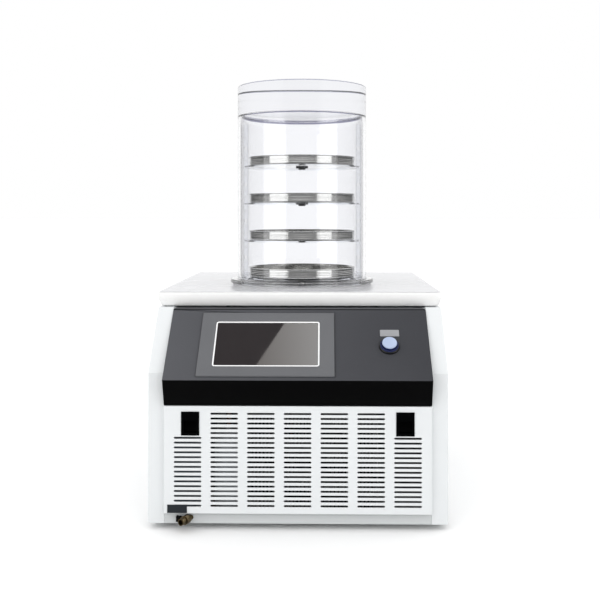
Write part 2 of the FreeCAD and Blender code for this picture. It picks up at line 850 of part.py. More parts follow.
def door_ears():
    """Ears on each side of the hinge barrels, bored for their pins."""
    ears = []
    outer = hinge_barrel_radius - hinge_ear_relief
    for x in (-hinge_x, hinge_x):
        for side in (-1, 1):
            near = x + side * (hinge_barrel_length / 2 + seat_gap)
            x0, x1 = sorted((near, near + side * hinge_ear))
            knuckle = rod(outer, vec(x0, hinge_y, hinge_z), vec(x1, hinge_y, hinge_z))
            web = box(x0, x1, -door_proud + sheet / 2, hinge_y, hinge_z - outer, hinge_z + outer)
            bore = rod(hinge_pin_radius + running_fit, vec(x0 - over, hinge_y, hinge_z),
                       vec(x1 + over, hinge_y, hinge_z))
            ears.append(knuckle.fuse(web).cut(bore))
    return ears


def door_hinges():
    """Two barrels with pins, fixed to the base pan's tabs."""
    barrels = []
    half = hinge_barrel_length / 2
    reach = half + seat_gap + hinge_ear - hinge_pin_short
    for x in (-hinge_x, hinge_x):
        barrel = rod(hinge_barrel_radius, vec(x - half, hinge_y, hinge_z), vec(x + half, hinge_y, hinge_z))
        neck = box(x - half, x + half, hinge_y, 0, hinge_z, hinge_z + hinge_barrel_radius)
        pin = rod(hinge_pin_radius, vec(x - reach, hinge_y, hinge_z), vec(x + reach, hinge_y, hinge_z))
        barrels.append(join([barrel, neck, pin]))
    return Part.makeCompound(barrels)


def door_catches():
    """Two magnetic catches that hang from the rail behind the door's top."""
    blocks = []
    for side in (-1, 1):
        left = side * pull_x - catch_width / 2
        right = left + catch_width
        block = box(left, right, sheet + seat_gap, catch_depth, door_top - catch_height, rail_foot)
        nose = box(left, right, 0, sheet + seat_gap, door_top - catch_height, door_top)
        blocks.append(join([block, nose]))
    return Part.makeCompound(blocks)


def pull(side):
    """A recessed finger pull: a flat rim, a cup and a lip to grip."""
    w = pull_width / 2
    h = pull_height / 2
    x = side * pull_x
    back = -door_proud + pull_depth
    front = -door_proud - pull_proud
    rim = box(x - w, x + w, front, -door_proud, pull_z - h, pull_z + h)
    front_edges = [e for e in rim.Edges if max(v.Y for v in e.Vertexes) < front + tiny]
    rim = rim.makeFillet(pull_edge_radius, front_edges)
    inner = pull_rim + pull_gap
    cup = box(x - w + inner, x + w - inner, -door_proud, back, pull_z - h + inner, pull_z + h - inner)
    inside = inner + pull_wall
    hollow = box(x - w + inside, x + w - inside, front - over, back - pull_wall,
                 pull_z - h + inside, pull_z + pull_mouth_rise)
    return join([rim, cup]).cut(hollow)


def door_label():
    """A bare name tile low on the left of the door."""
    w = label_width / 2
    h = label_height / 2
    return box(label_x - w, label_x + w, -door_proud - label_thickness, -door_proud, label_z - h, label_z + h)


# ---- drain valve ----

def valve_body():
    """The brass drain valve: nut, body, side boss and hose outlet."""
    end = -valve_length
    shoulder = end + valve_outlet_length
    nut_end = -valve_nut_start - valve_nut_length
    neck = rod(valve_neck_radius, vec(0, valve_tail, 0), vec(0, -valve_nut_start, 0))
    nut = hexagon(valve_nut_flats, vec(0, -valve_nut_start, 0), vec(0, nut_end, 0))
    body = rod(valve_body_radius, vec(0, nut_end, 0), vec(0, shoulder, 0))
    outlet = rod(valve_outlet_radius, vec(0, shoulder, 0), vec(0, end, 0))
    centre = -valve_knob_centre
    boss = rod(valve_boss_radius, vec(0, centre, 0), vec(-valve_boss_reach, centre, 0))
    whole = join([neck, nut, body, outlet, boss])
    mouth = rod(valve_outlet_bore, vec(0, end - over, 0), vec(0, shoulder, 0))
    way = rod(valve_way_radius, vec(0, end - over, 0), vec(0, valve_tail + over, 0))
    stem_bore = rod(valve_stem_radius + running_fit, vec(-valve_way_radius - valve_stem_floor, centre, 0),
                    vec(-valve_boss_reach - over, centre, 0))
    return on_valve(whole.cut([mouth, way, stem_bore]))


def valve_knob():
    """The quarter-turn knob on the valve's side, pinched by two flats."""
    near = -valve_boss_reach - seat_gap
    far = near - valve_knob_length
    centre = -valve_knob_centre
    knob = rod(valve_knob_radius, vec(near, centre, 0), vec(far, centre, 0))
    root = near - valve_knob_collar
    flats = [box(far - over, root, centre + valve_knob_grip, centre + over, -over, over),
             box(far - over, root, centre - over, centre - valve_knob_grip, -over, over)]
    stem_end = -valve_way_radius - valve_stem_floor - seat_gap
    stem = rod(valve_stem_radius, vec(stem_end, centre, 0), vec(root, centre, 0))
    return on_valve(join([knob.cut(flats), stem]))


def drain_pipe():
    """The pipe from the bottom of the trap to the drain valve."""
    turn = FreeCAD.Rotation(vec(0, 0, 1), valve_yaw)
    base = vec(valve_x, 0, valve_z)
    start = base + turn.multVec(vec(0, valve_tail, 0))
    inwards = base + turn.multVec(vec(0, valve_tail + drain_run, 0))
    low = vec(condenser_left - tube_tail, bell_y - drain_turn_y, valve_z + drain_low)
    under_trap = vec(trap_drain_x, bell_y, valve_z + drain_rise)
    points = [start, inwards, low, under_trap, vec(trap_drain_x, bell_y, foam_bottom)]
    return pipe_run(points, pipe_radius, drain_bend)


# ---- cold trap ----

def trap_well():
    """The stainless well, hung from the deck by its lip, with both its spouts."""
    outer = rod(trap_radius + trap_wall, vec(0, bell_y, trap_bottom - trap_wall), vec(0, bell_y, deck_top))
    floor_edge = [e for e in outer.Edges if max(v.Z for v in e.Vertexes) < trap_bottom]
    outer = outer.makeFillet(trap_floor_radius + trap_wall, floor_edge)
    lip = rod(trap_lip_radius, vec(0, bell_y, deck_top), vec(0, bell_y, rack_foot_base))
    inner = rod(trap_radius, vec(0, bell_y, trap_bottom), vec(0, bell_y, deck_top + over))
    floor_edge = [e for e in inner.Edges if max(v.Z for v in e.Vertexes) < trap_bottom + tiny]
    inner = inner.makeFillet(trap_floor_radius, floor_edge)
    spout = rod(pipe_radius + spout_wall, vec(trap_drain_x, bell_y, foam_bottom),
                vec(trap_drain_x, bell_y, trap_bottom - trap_wall / 2))
    drain = rod(pipe_radius - spout_wall, vec(trap_drain_x, bell_y, foam_bottom - over),
                vec(trap_drain_x, bell_y, trap_bottom + over))
    side = rod(port_bore + port_wall, vec(port_x, bell_y + trap_radius / 2, vacuum_z),
               vec(port_x, jacket_rear, vacuum_z))
    side_bore = rod(port_bore, vec(port_x, bell_y, vacuum_z), vec(port_x, jacket_rear + over, vacuum_z))
    return join([outer, lip, spout, side]).cut([inner, drain, side_bore])


def evaporator_coil():
    """Cooling tube wound round the well, its turns joined by a header."""
    turns = []
    for k in range(coil_turns):
        turns.append(Part.makeTorus(coil_radius, coil_tube_radius, vec(0, bell_y, coil_low + k * coil_pitch)))
    header = rod(coil_header_radius, vec(coil_radius, bell_y, coil_low), vec(coil_radius, bell_y, coil_top))
    suction = rod(pipe_radius, vec(0, bell_y + coil_radius, coil_top), vec(0, jacket_rear, coil_top))
    liquid = rod(pipe_radius, vec(-coil_radius, bell_y, coil_low), vec(jacket_left, bell_y, coil_low))
    return turns[0].fuse(turns[1:] + [header, suction, liquid])


def trap_foam():
    """The foam jacket round the well and its coil."""
    high = deck_top - sheet - seat_gap
    jacket = rod(foam_outer, vec(0, bell_y, foam_bottom), vec(0, bell_y, high))
    hollow = rod(foam_inner, vec(0, bell_y, trap_bottom - trap_wall - seat_gap), vec(0, bell_y, high + over))
    ways = [rod(pipe_radius + spout_wall + seat_gap, vec(trap_drain_x, bell_y, foam_bottom - over),
                vec(trap_drain_x, bell_y, trap_bottom)),
            rod(port_bore + port_wall + seat_gap, vec(port_x, bell_y, vacuum_z),
                vec(port_x, jacket_rear, vacuum_z)),
            rod(pipe_radius + seat_gap, vec(0, bell_y, coil_top), vec(0, jacket_rear, coil_top)),
            rod(pipe_radius + seat_gap, vec(0, bell_y, coil_low), vec(jacket_left, bell_y, coil_low))]
    return jacket.cut([hollow] + ways)


# ---- drying bell and rack ----

def bell_gasket():
    """The rubber ring between the deck and the bell's flange."""
    return plan_ring(gasket_radius, gasket_bore, bell_y, deck_top, flange_base)


def drying_bell():
    """The clear bell: thick crown, cylinder wall and foot flange in one."""
    top = deck_top + bell_height
    crown = top - bell_crown
    step = flange_base + bell_flange_height
    outline = [(0, top), (bell_radius, top), (bell_radius, step), (bell_flange_radius, step),
               (bell_flange_radius, flange_base), (bell_inner, flange_base), (bell_inner, crown), (0, crown)]
    points = [vec(r, bell_y, z) for r, z in outline]
    face = Part.Face(Part.makePolygon(points + [points[0]]))
    bell = face.revolve(vec(0, bell_y, 0), vec(0, 0, 1), 360)
    rims = [e for e in bell.Edges if len(e.Vertexes) == 1
            and min(abs(e.Vertexes[0].Z - top), abs(e.Vertexes[0].Z - crown)) < tiny]
    bell = bell.makeFillet(bell_edge_radius, rims)
    flange_rims = [e for e in bell.Edges if len(e.Vertexes) == 1
                   and math.hypot(e.Vertexes[0].X, e.Vertexes[0].Y - bell_y) > bell_flange_radius - tiny]
    return bell.makeFillet(bell_flange_round, flange_rims)


def rack_foot():
    """The steel ring that carries the rack on the well's lip."""
    return plan_ring(rack_foot_outer_radius, rack_foot_inner_radius, bell_y, rack_foot_base, rack_foot_top)


def tray_floor(level):
    """Height of a tray's underside; level 1 is the lowest."""
    return deck_top + tray_first_floor + (level - 1) * tray_pitch


def shelf_slot(side, level, clearance):
    """The notch in which a shelf and an upright cross."""
    x0, x1 = sorted((side * upright_inner_x, side * (upright_inner_x + upright_bite + clearance)))
    half = upright_thickness / 2 + clearance
    z1 = tray_floor(level) + clearance
    z0 = tray_floor(level) - shelf_thickness - clearance
    return box(x0, x1, bell_y - half, bell_y + half, z0, z1)


def rack_uprights():
    """Two clear strips, notched for the shelves and pierced by small holes."""
    strips = []
    for side in (-1, 1):
        x0, x1 = sorted((side * upright_inner_x, side * upright_outer_x))
        half = upright_thickness / 2
        strip = box(x0, x1, bell_y - half, bell_y + half, rack_foot_top, deck_top + upright_top)
        middle = (x0 + x1) / 2
        cuts = []
        for level in range(1, tray_levels + 1):
            cuts.append(shelf_slot(side, level, inlay_gap))
            for lift, radius in upright_holes:
                z = tray_floor(level) + lift
                cuts.append(rod(radius, vec(middle, bell_y - over, z), vec(middle, bell_y + over, z)))
        strips.append(strip.cut(cuts))
    return Part.makeCompound(strips)


def shelf(level):
    """A thin ring that carries one tray, let into both uprights."""
    z1 = tray_floor(level)
    ring = plan_ring(shelf_outer_radius, shelf_inner_radius, bell_y, z1 - shelf_thickness, z1)
    half = upright_thickness / 2 + inlay_gap
    notches = []
    for side in (-1, 1):
        x0, x1 = sorted((side * (upright_inner_x + upright_bite), side * (shelf_outer_radius + over)))
        notches.append(box(x0, x1, bell_y - half, bell_y + half, z1 - over, z1 + over))
    return ring.cut(notches)


def tray(level):
    """A round dish of thin sheet with an outward rim."""
    z = tray_floor(level)
    wall = tray_radius - tray_rim
    floor = z + tray_sheet
    outer = rod(wall, vec(0, bell_y, z), vec(0, bell_y, z + tray_height))
    floor_edge = [e for e in outer.Edges if max(v.Z for v in e.Vertexes) < z + tiny]
    outer = outer.makeFillet(tray_bend + tray_sheet, floor_edge)
    inner = rod(wall - tray_sheet, vec(0, bell_y, floor), vec(0, bell_y, z + tray_height + over))
    floor_edge = [e for e in inner.Edges if max(v.Z for v in e.Vertexes) < floor + tiny]
    inner = inner.makeFillet(tray_bend, floor_edge)
    rim = plan_ring(tray_radius, wall - tray_sheet, bell_y, z + tray_height - tray_sheet, z + tray_height)
    return join([outer.cut(inner), rim])


def tray_hubs():
    """The boss and nut under the middle of each tray."""
    hubs = []
    for level in range(1, tray_levels + 1):
        top = vec(0, bell_y, tray_floor(level))
        middle = top - vec(0, 0, tray_hub_drop / 2)
        boss = rod(tray_hub_radius, middle, top)
        nut = hexagon(tray_hub_radius, top - vec(0, 0, tray_hub_drop), middle)
        hubs.append(join([boss, nut]))
    return Part.makeCompound(hubs)


# ---- refrigeration and air ----

def compressor():
    """The hermetic compressor: domed shell, foot plate, stubs and terminal box."""
    x = compressor_x
    y = compressor_y
    plate_top = compressor_base + foot_plate
    shell = rod(compressor_radius, vec(x, y, plate_top), vec(x, y, compressor_base + compressor_height))
    top_edge = [e for e in shell.Edges if min(v.Z for v in e.Vertexes) > plate_top]
    shell = shell.makeFillet(compressor_dome, top_edge)
    half = compressor_radius + foot_plate_margin
    deep = half * foot_plate_ratio
    plate = box(x - half, x + half, y - deep, y + deep, compressor_base, plate_top)
    low = compressor_base + terminal_lift
    terminal = box(x, x + compressor_radius + terminal_reach, y - terminal_width / 2,
                   y + terminal_width / 2, low, low + terminal_height)
    stub = pipe_radius + stub_wall
    discharge = rod(stub, vec(x, y, line_z), vec(x, discharge_y, line_z))
    suction = rod(stub, vec(suction_x, y, low), vec(suction_x, y, suction_foot))
    return join([shell, plate, terminal, discharge, suction])


def compressor_mounts():
    """Rubber mounts between the compressor's foot plate and the base pan."""
    mounts = []
    reach_x = compressor_radius - mount_inset
    reach_y = compressor_radius * foot_plate_ratio - mount_inset
    for x in (compressor_x - reach_x, compressor_x + reach_x):
        for y in (compressor_y - reach_y, compressor_y + reach_y):
            mounts.append(rod(mount_radius, vec(x, y, sheet), vec(x, y, compressor_base)))
    return Part.makeCompound(mounts)


def row_z(row):
    """Height of a condenser tube; row 0 is the lowest."""
    return condenser_base + tube_first + row * tube_pitch


def tube_ways(x0, x1):
    """Cutters for the holes in which the condenser's tubes run."""
    return [rod(pipe_radius + tube_fit, vec(x0, tube_y, row_z(row)), vec(x1, tube_y, row_z(row)))
            for row in range(tube_rows)]


def condenser_fins():
    """Thin fins strung on the condenser's tubes."""
    low = condenser_base
    fin = box(0, fin_thickness, condenser_front, shroud_front, low, low + condenser_height)
    fin = fin.cut(tube_ways(-over, over))
    room = condenser_right - condenser_left
    count = int((room - 2 * fin_pitch) / fin_pitch)
    start = condenser_left + (room - (count - 1) * fin_pitch - fin_thickness) / 2
    return Part.makeCompound([fin.translated(vec(start + k * fin_pitch, 0, 0)) for k in range(count)])


def condenser_tubes():
    """One tube that runs to and fro through the fins."""
    pieces = []
    for row in range(tube_rows):
        right = condenser_right + (tube_head if row == tube_rows - 1 else 0)
        left = condenser_left - (tube_tail if row == 0 else 0)
        pieces.append(rod(pipe_radius, vec(left, tube_y, row_z(row)), vec(right, tube_y, row_z(row))))
    for row in range(tube_rows - 1):
        at_right = row % 2 == 0
        x = condenser_right if at_right else condenser_left
        centre = vec(x, tube_y, row_z(row) + tube_pitch / 2)
        bend = Part.makeTorus(tube_pitch / 2, pipe_radius, centre, vec(0, 1, 0))
        x0, x1 = sorted((x, x + (tube_pitch if at_right else -tube_pitch)))
        half_space = box(x0, x1, tube_y - over, tube_y + over, row_z(row) - over, row_z(row + 1) + over)
        pieces.append(bend.common(half_space))
    return join(pieces)


def condenser_end_plates():
    """The plates at the fins' ends, which stand on the base pan."""
    plates = []
    for x in (condenser_left, condenser_right - sheet):
        plate = box(x, x + sheet, condenser_front, shroud_front, sheet, condenser_base + condenser_height)
        plates.append(plate.cut(tube_ways(x - over, x + over)))
    return Part.makeCompound(plates)


def fan_shroud():
    """The sheet box behind the condenser, open to the fan."""
    low = condenser_base
    high = low + condenser_height
    shell = box(condenser_left, condenser_right, shroud_front, shroud_rear, low, high)
    inside = box(condenser_left + sheet, condenser_right - sheet, shroud_front - over, shroud_rear - sheet,
                 low + sheet, high - sheet)
    mouth = rod(fan_radius + fan_gap, vec(fan_x, shroud_rear - over, fan_z),
                vec(fan_x, shroud_rear + over, fan_z))
    return shell.cut([inside, mouth])


def fan_bracket():
    """Four arms that hold the motor behind the shroud, each on its post."""
    front = motor_front + bracket_setback
    rear = front + bracket_width
    post_radius = fan_radius + fan_gap + bracket_post_margin
    pieces = [rod(motor_radius + bracket_wall, vec(fan_x, front, fan_z), vec(fan_x, rear, fan_z))]
    for angle in (bracket_angle, 180 - bracket_angle, 180 + bracket_angle, -bracket_angle):
        way = vec(math.cos(math.radians(angle)), 0, math.sin(math.radians(angle)))
        hub = vec(fan_x, (front + rear) / 2, fan_z)
        post = hub + way * post_radius
        pieces.append(rod(bracket_arm_radius, hub, post))
        pieces.append(rod(bracket_post_radius, vec(post.x, shroud_rear, post.z), vec(post.x, rear, post.z)))
    bore = rod(motor_radius + motor_fit, vec(fan_x, front - over, fan_z), vec(fan_x, rear + over, fan_z))
    return join(pieces).cut(bore)


def fan_motor():
    """The motor can and its shaft."""
    rear = motor_front + motor_length
    can = rod(motor_radius, vec(fan_x, motor_front, fan_z), vec(fan_x, rear, fan_z))
    can = can.makeFillet(motor_round, [e for e in can.Edges if len(e.Vertexes) == 1])
    shaft = rod(motor_shaft_radius, vec(fan_x, rear - motor_round, fan_z),
                vec(fan_x, fan_front - shaft_short, fan_z))
    return join([can, shaft])


def fan_rotor():
    """The hub, bored for the shaft, with its blades."""
    hub = rod(hub_radius, vec(fan_x, fan_front, fan_z), vec(fan_x, fan_rear, fan_z))
    pieces = [hub]
    for k in range(fan_blades):
        blade = box(-blade_width / 2, blade_width / 2, -blade_thickness / 2, blade_thickness / 2,
                    hub_radius - blade_root, fan_radius)
        blade.rotate(vec(0, 0, 0), vec(0, 0, 1), blade_pitch)
        blade.rotate(vec(0, 0, 0), vec(0, 1, 0), 360.0 / fan_blades * k)
        blade.translate(vec(fan_x, (fan_front + fan_rear) / 2, fan_z))
        pieces.append(blade)
    trim = rod(fan_radius, vec(fan_x, fan_front, fan_z), vec(fan_x, fan_rear, fan_z))
    bore = rod(motor_shaft_radius + running_fit, vec(fan_x, fan_front - over, fan_z),
               vec(fan_x, fan_rear + over, fan_z))
    return join(pieces).common(trim).cut(bore)


def filter_dryer():
    """The upright filter-dryer on its post."""
    high = dryer_base + dryer_height
    middle = (dryer_base + high) / 2
    can = rod(dryer_radius, vec(dryer_x, dryer_y, dryer_base), vec(dryer_x, dryer_y, high))
    can = can.makeFillet(dryer_round, [e for e in can.Edges if len(e.Vertexes) == 1])
    post = rod(dryer_post_radius, vec(dryer_x, dryer_y, sheet), vec(dryer_x, dryer_y, middle))
    stub = rod(pipe_radius + stub_wall, vec(dryer_x, dryer_y, middle), vec(dryer_x, dryer_y, dryer_top))
    return join([can, post, stub])


def refrigerant_lines():
    """Discharge, condenser outlet, liquid and suction lines."""
    front = discharge_y - discharge_front
    right = condenser_right + discharge_side
    left = jacket_left - liquid_side
    discharge = [vec(compressor_x, discharge_y, line_z), vec(compressor_x, front, line_z),
                 vec(right, front, line_z), vec(right, tube_y, line_z),
                 vec(condenser_right + tube_head, tube_y, line_z)]
    outlet = [vec(condenser_left - tube_tail, tube_y, row_z(0)), vec(dryer_x, tube_y, row_z(0)),
              vec(dryer_x, dryer_y + dryer_radius, row_z(0))]
    liquid = [vec(dryer_x, dryer_y, dryer_top), vec(dryer_x, dryer_y, coil_low), vec(left, dryer_y, coil_low),
              vec(left, bell_y, coil_low), vec(jacket_left, bell_y, coil_low)]
    suction = [vec(0, jacket_rear, coil_top), vec(0, compressor_y, coil_top),
               vec(suction_x, compressor_y, coil_top), vec(suction_x, compressor_y, suction_foot)]
    routes = ((discharge, line_bend), (outlet, outlet_bend), (liquid, liquid_bend), (suction, line_bend))
    return Part.makeCompound([pipe_run(route, pipe_radius, bend) for route, bend in routes])


# ---- electrics ----

def control_box():
    """The sheet box for the electrics, open towards the middle."""
    x0 = control_box_left
    x1 = x0 + control_box_width
    y0 = control_box_front
    y1 = y0 + control_box_depth
    z1 = sheet + control_box_height
    shell = box(x0, x1, y0, y1, sheet, z1)
    return shell.cut(box(x0 + sheet, x1 + over, y0 + sheet, y1 - sheet, 2 * sheet, z1 - sheet))


def control_board():
    """The board on its posts, with relays and a supply module."""
    back = control_box_left + sheet
    x0 = back + board_stand
    x1 = x0 + board_thickness
    y0 = control_box_front + board_margin
    y1 = y0 + control_box_depth - 2 * board_margin
    z0 = sheet + board_margin
    z1 = z0 + control_box_height - 2 * board_margin
    pieces = [box(x0, x1, y0, y1, z0, z1)]
    for y in (y0 + board_post_inset, y1 - board_post_inset):
        for z in (z0 + board_post_inset, z1 - board_post_inset):
            pieces.append(rod(board_post_radius, vec(back, y, z), vec(x0, y, z)))
    for k in range(relay_count):
        y = y0 + relay_first + k * relay_pitch
        z = z0 + relay_lift
        pieces.append(box(x1, x1 + relay_depth, y, y + relay_width, z, z + relay_height))
    y = y0 + supply_first
    z = z0 + supply_lift
    pieces.append(box(x1, x1 + supply_depth, y, y + supply_width, z, z + supply_height))
    return join(pieces)


# ---- rear connections ----

def vacuum_port():
    """The small-flange port for the vacuum pump's hose."""
    neck = port_bore + port_wall
    flange_start = port_end - port_flange_thickness
    outer = rod(neck, vec(port_x, port_start, port_z), vec(port_x, port_end, port_z))
    flange = rod(port_flange_radius, vec(port_x, flange_start, port_z), vec(port_x, port_end, port_z))
    back = Part.makeCone(neck, port_flange_radius, port_flange_thickness,
                         vec(port_x, flange_start - port_flange_thickness, port_z), vec(0, 1, 0))
    bore = rod(port_bore, vec(port_x, port_start - over, port_z), vec(port_x, port_end + over, port_z))
    return join([outer, flange, back]).cut(bore)


def vacuum_pipe():
    """The pipe from the well's side spout down to the rear port."""
    points = [vec(port_x, jacket_rear, vacuum_z), vec(port_x, vacuum_drop_y, vacuum_z),
              vec(port_x, vacuum_drop_y, port_z), vec(port_x, port_start, port_z)]
    outer = pipe_run(points, port_bore + port_wall, vacuum_bend)
    return outer.cut(pipe_run(points, port_bore - pipe_step, vacuum_bend))


def power_inlet():
    """The inlet socket with its pins and the recess for the rocker."""
    front = rear_face + inlet_flange
    half = inlet_width / 2
    tall = inlet_height / 2
    flange = box(inlet_x - half, inlet_x + half, rear_face, front, inlet_z - tall, inlet_z + tall)
    half = half - inlet_lip - seat_gap
    tall = tall - inlet_lip - seat_gap
    body = box(inlet_x - half, inlet_x + half, rear_face - inlet_depth, rear_face,
               inlet_z - tall, inlet_z + tall)
    socket = box(inlet_x - socket_width / 2, inlet_x + socket_width / 2, rear_face - socket_depth,
                 front + over, socket_low, socket_low + socket_height)
    half = rocker_width / 2 + rocker_fit
    tall = rocker_height / 2 + rocker_end_gap
    recess = box(inlet_x - half, inlet_x + half, rear_face - rocker_recess, front + over,
                 rocker_z - tall, rocker_z + tall)
    pins = []
    for across, up in socket_pins:
        x = inlet_x + across
        z = socket_low + socket_height / 2 + up
        pins.append(box(x - pin_width / 2, x + pin_width / 2, rear_face - socket_depth,
                        rear_face - pin_setback, z - pin_height / 2, z + pin_height / 2))
    return join([flange.fuse(body).cut([socket, recess])] + pins)


def rocker_axis():
    return vec(inlet_x, rear_face - rocker_axis_depth, rocker_z)


def power_rocker():
    """The rocker, resting tipped to its off side."""
    half = rocker_width / 2
    tall = rocker_height / 2
    axis = rocker_axis()
    low = axis.z - tall
    high = axis.z + tall
    ends = axis.y + rocker_proud
    outline = [(ends - rocker_thickness, high), (ends, high), (axis.y + rocker_waist, axis.z), (ends, low),
               (ends - rocker_thickness, low), (axis.y - rocker_keel, axis.z)]
    rocker = side_profile(outline, inlet_x - half, inlet_x + half)
    rocker.rotate(axis, vec(1, 0, 0), -rocker_tilt)
    return rocker


def rear_screws():
    """Pan-head screws round the edge of the rear panel."""
    side = mouth_half - screw_inset
    screws = []
    for x in (-side, -side / 3, side / 3, side):
        for z in (door_bottom + screw_inset, body_height - sheet - seat_gap - screw_inset):
            head = rod(screw_radius, vec(x, rear_face, z), vec(x, rear_face + screw_head, z))
            crown = [e for e in head.Edges if min(v.Y for v in e.Vertexes) > rear_face + tiny]
            screws.append(head.makeFillet(screw_round, crown))
    return Part.makeCompound(screws)


# ---- all pieces ----

def build():
    left_panel = side_panel()
    save("base_pan", base_pan())
    save("left_side_panel", left_panel)
    save("right_side_panel", left_panel.mirror(vec(0, 0, 0), vec(1, 0, 0)))
    save("rear_panel", rear_panel())
    save("front_rail", front_rail())
    save("upper_rail", upper_rail())
    save("top_plate", top_plate())
    save("rubber_feet", feet())
    save("rear_screws", rear_screws())
    save("console", console())
    save("display_bezel", display_bezel())
    save("display_trim", display_trim())
    save("display_glass", display_glass())
    save("display_module", display_module())
    save("button_ring", button_ring())
    save("button_cap", button_cap())
    save("button_switch", button_switch())
    save("button_nameplate", button_nameplate())
    save("door", door())
    save("door_hinges", door_hinges())
    save("door_catches", door_catches())
    save("left_pull", pull(-1))
    save("right_pull", pull(1))
    save("door_label", door_label())
    save("drain_valve_body", valve_body())
    save("drain_valve_knob", valve_knob())
    save("drain_pipe", drain_pipe())
    save("trap_well", trap_well())
    save("evaporator_coil", evaporator_coil())
    save("trap_foam", trap_foam())
    save("bell_gasket", bell_gasket())
    save("drying_bell", drying_bell())
    save("rack_foot", rack_foot())
    save("rack_uprights", rack_uprights())
    for level in range(1, tray_levels + 1):
        save("shelf_%d" % level, shelf(level))
        save("tray_%d" % level, tray(level))
    save("tray_hubs", tray_hubs())
    save("compressor", compressor())
    save("compressor_mounts", compressor_mounts())
    save("condenser_fins", condenser_fins())
    save("condenser_tubes", condenser_tubes())
    save("condenser_end_plates", condenser_end_plates())
    save("fan_shroud", fan_shroud())
    save("fan_bracket", fan_bracket())
    save("fan_motor", fan_motor())
    save("fan_rotor", fan_rotor())
    save("filter_dryer", filter_dryer())
    save("refrigerant_lines", refrigerant_lines())
    save("control_box", control_box())
    save("control_board", control_board())
    save("vacuum_port", vacuum_port())
    save("vacuum_pipe", vacuum_pipe())
    save("power_inlet", power_inlet())
    save("power_rocker", power_rocker())


build()
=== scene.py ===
import math

import bmesh
import bpy
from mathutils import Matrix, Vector


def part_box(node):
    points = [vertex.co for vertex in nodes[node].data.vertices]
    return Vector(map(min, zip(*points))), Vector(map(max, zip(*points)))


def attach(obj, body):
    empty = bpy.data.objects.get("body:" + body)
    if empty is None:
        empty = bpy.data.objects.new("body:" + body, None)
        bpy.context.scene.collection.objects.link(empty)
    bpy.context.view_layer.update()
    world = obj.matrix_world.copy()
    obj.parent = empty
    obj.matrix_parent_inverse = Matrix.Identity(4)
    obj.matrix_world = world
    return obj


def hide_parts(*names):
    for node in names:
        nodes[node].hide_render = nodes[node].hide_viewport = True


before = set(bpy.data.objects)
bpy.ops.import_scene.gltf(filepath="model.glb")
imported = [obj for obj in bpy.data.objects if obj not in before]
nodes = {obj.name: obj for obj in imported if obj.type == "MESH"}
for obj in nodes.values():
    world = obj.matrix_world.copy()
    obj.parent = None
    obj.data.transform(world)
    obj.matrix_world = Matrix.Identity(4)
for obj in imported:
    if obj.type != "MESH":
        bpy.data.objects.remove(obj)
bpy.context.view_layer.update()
scene = bpy.context.scene

# Freeze dryer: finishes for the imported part, and finer pieces over its plain solids.

MM = 0.001

# ---- camera ----

CAMERA_AT = (0.042, -1.676, 0.4864)
CAMERA_TURN = 1.0                # degrees to the left
SENSOR = 36
VIEW = 600                       # the view's width, as the unit of the next three lines
FOCAL_LENGTH = 905
SHIFT_X = -9.35
SHIFT_Y = -87.2

camera = bpy.data.objects.new("camera", bpy.data.cameras.new("camera"))
camera.location = CAMERA_AT
camera.rotation_euler = (math.radians(90), 0, math.radians(CAMERA_TURN))
camera.data.sensor_width = SENSOR
camera.data.lens = SENSOR * (FOCAL_LENGTH / VIEW)
camera.data.shift_x = SHIFT_X / VIEW
camera.data.shift_y = SHIFT_Y / VIEW
scene.collection.objects.link(camera)
scene.camera = camera

scene.view_settings.view_transform = "Standard"
scene.view_settings.look = "None"
scene.cycles.max_bounces = 20
scene.cycles.transmission_bounces = 18
scene.cycles.transparent_max_bounces = 16
scene.cycles.sample_clamp_indirect = 6


# ---- measures that finishes and pieces share ----

bell_low, bell_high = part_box("drying_bell")
deck_low, deck_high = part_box("top_plate")
console_low, console_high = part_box("console")
door_low, door_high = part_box("door")
bezel_low, bezel_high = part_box("display_bezel")

# the bell, its rack and its trays stand about one upright axis
axis = Vector(((bell_low.x + bell_high.x) / 2, (bell_low.y + bell_high.y) / 2, 0))
AXIS_Y = round(axis.y, 5)

BELL_OUT = 0.116                 # radius outside
BELL_IN = 0.1095                 # radius inside
CROWN = 0.052                    # thickness of the bell's solid crown
CROWN_ROUND = 0.0018             # round on the crown's top edge
crown_foot = bell_high.z - CROWN

# the console's sloping face in section: its ridge, its brow and the line z = SLOPE[0] + SLOPE[1] * y
section = [(round(vertex.co.y, 5), round(vertex.co.z, 5)) for vertex in nodes["console"].data.vertices]
RIDGE = min(section, key=lambda point: (point[0], -point[1]))
BROW = max(section, key=lambda point: (point[1], -point[0]))
RISE = (BROW[1] - RIDGE[1]) / (BROW[0] - RIDGE[0])
SLOPE = (RIDGE[1] - RIDGE[0] * RISE, RISE)
LEAN = 0.672                     # sine of the slope: height won per length of it


# ---- shader maths ----

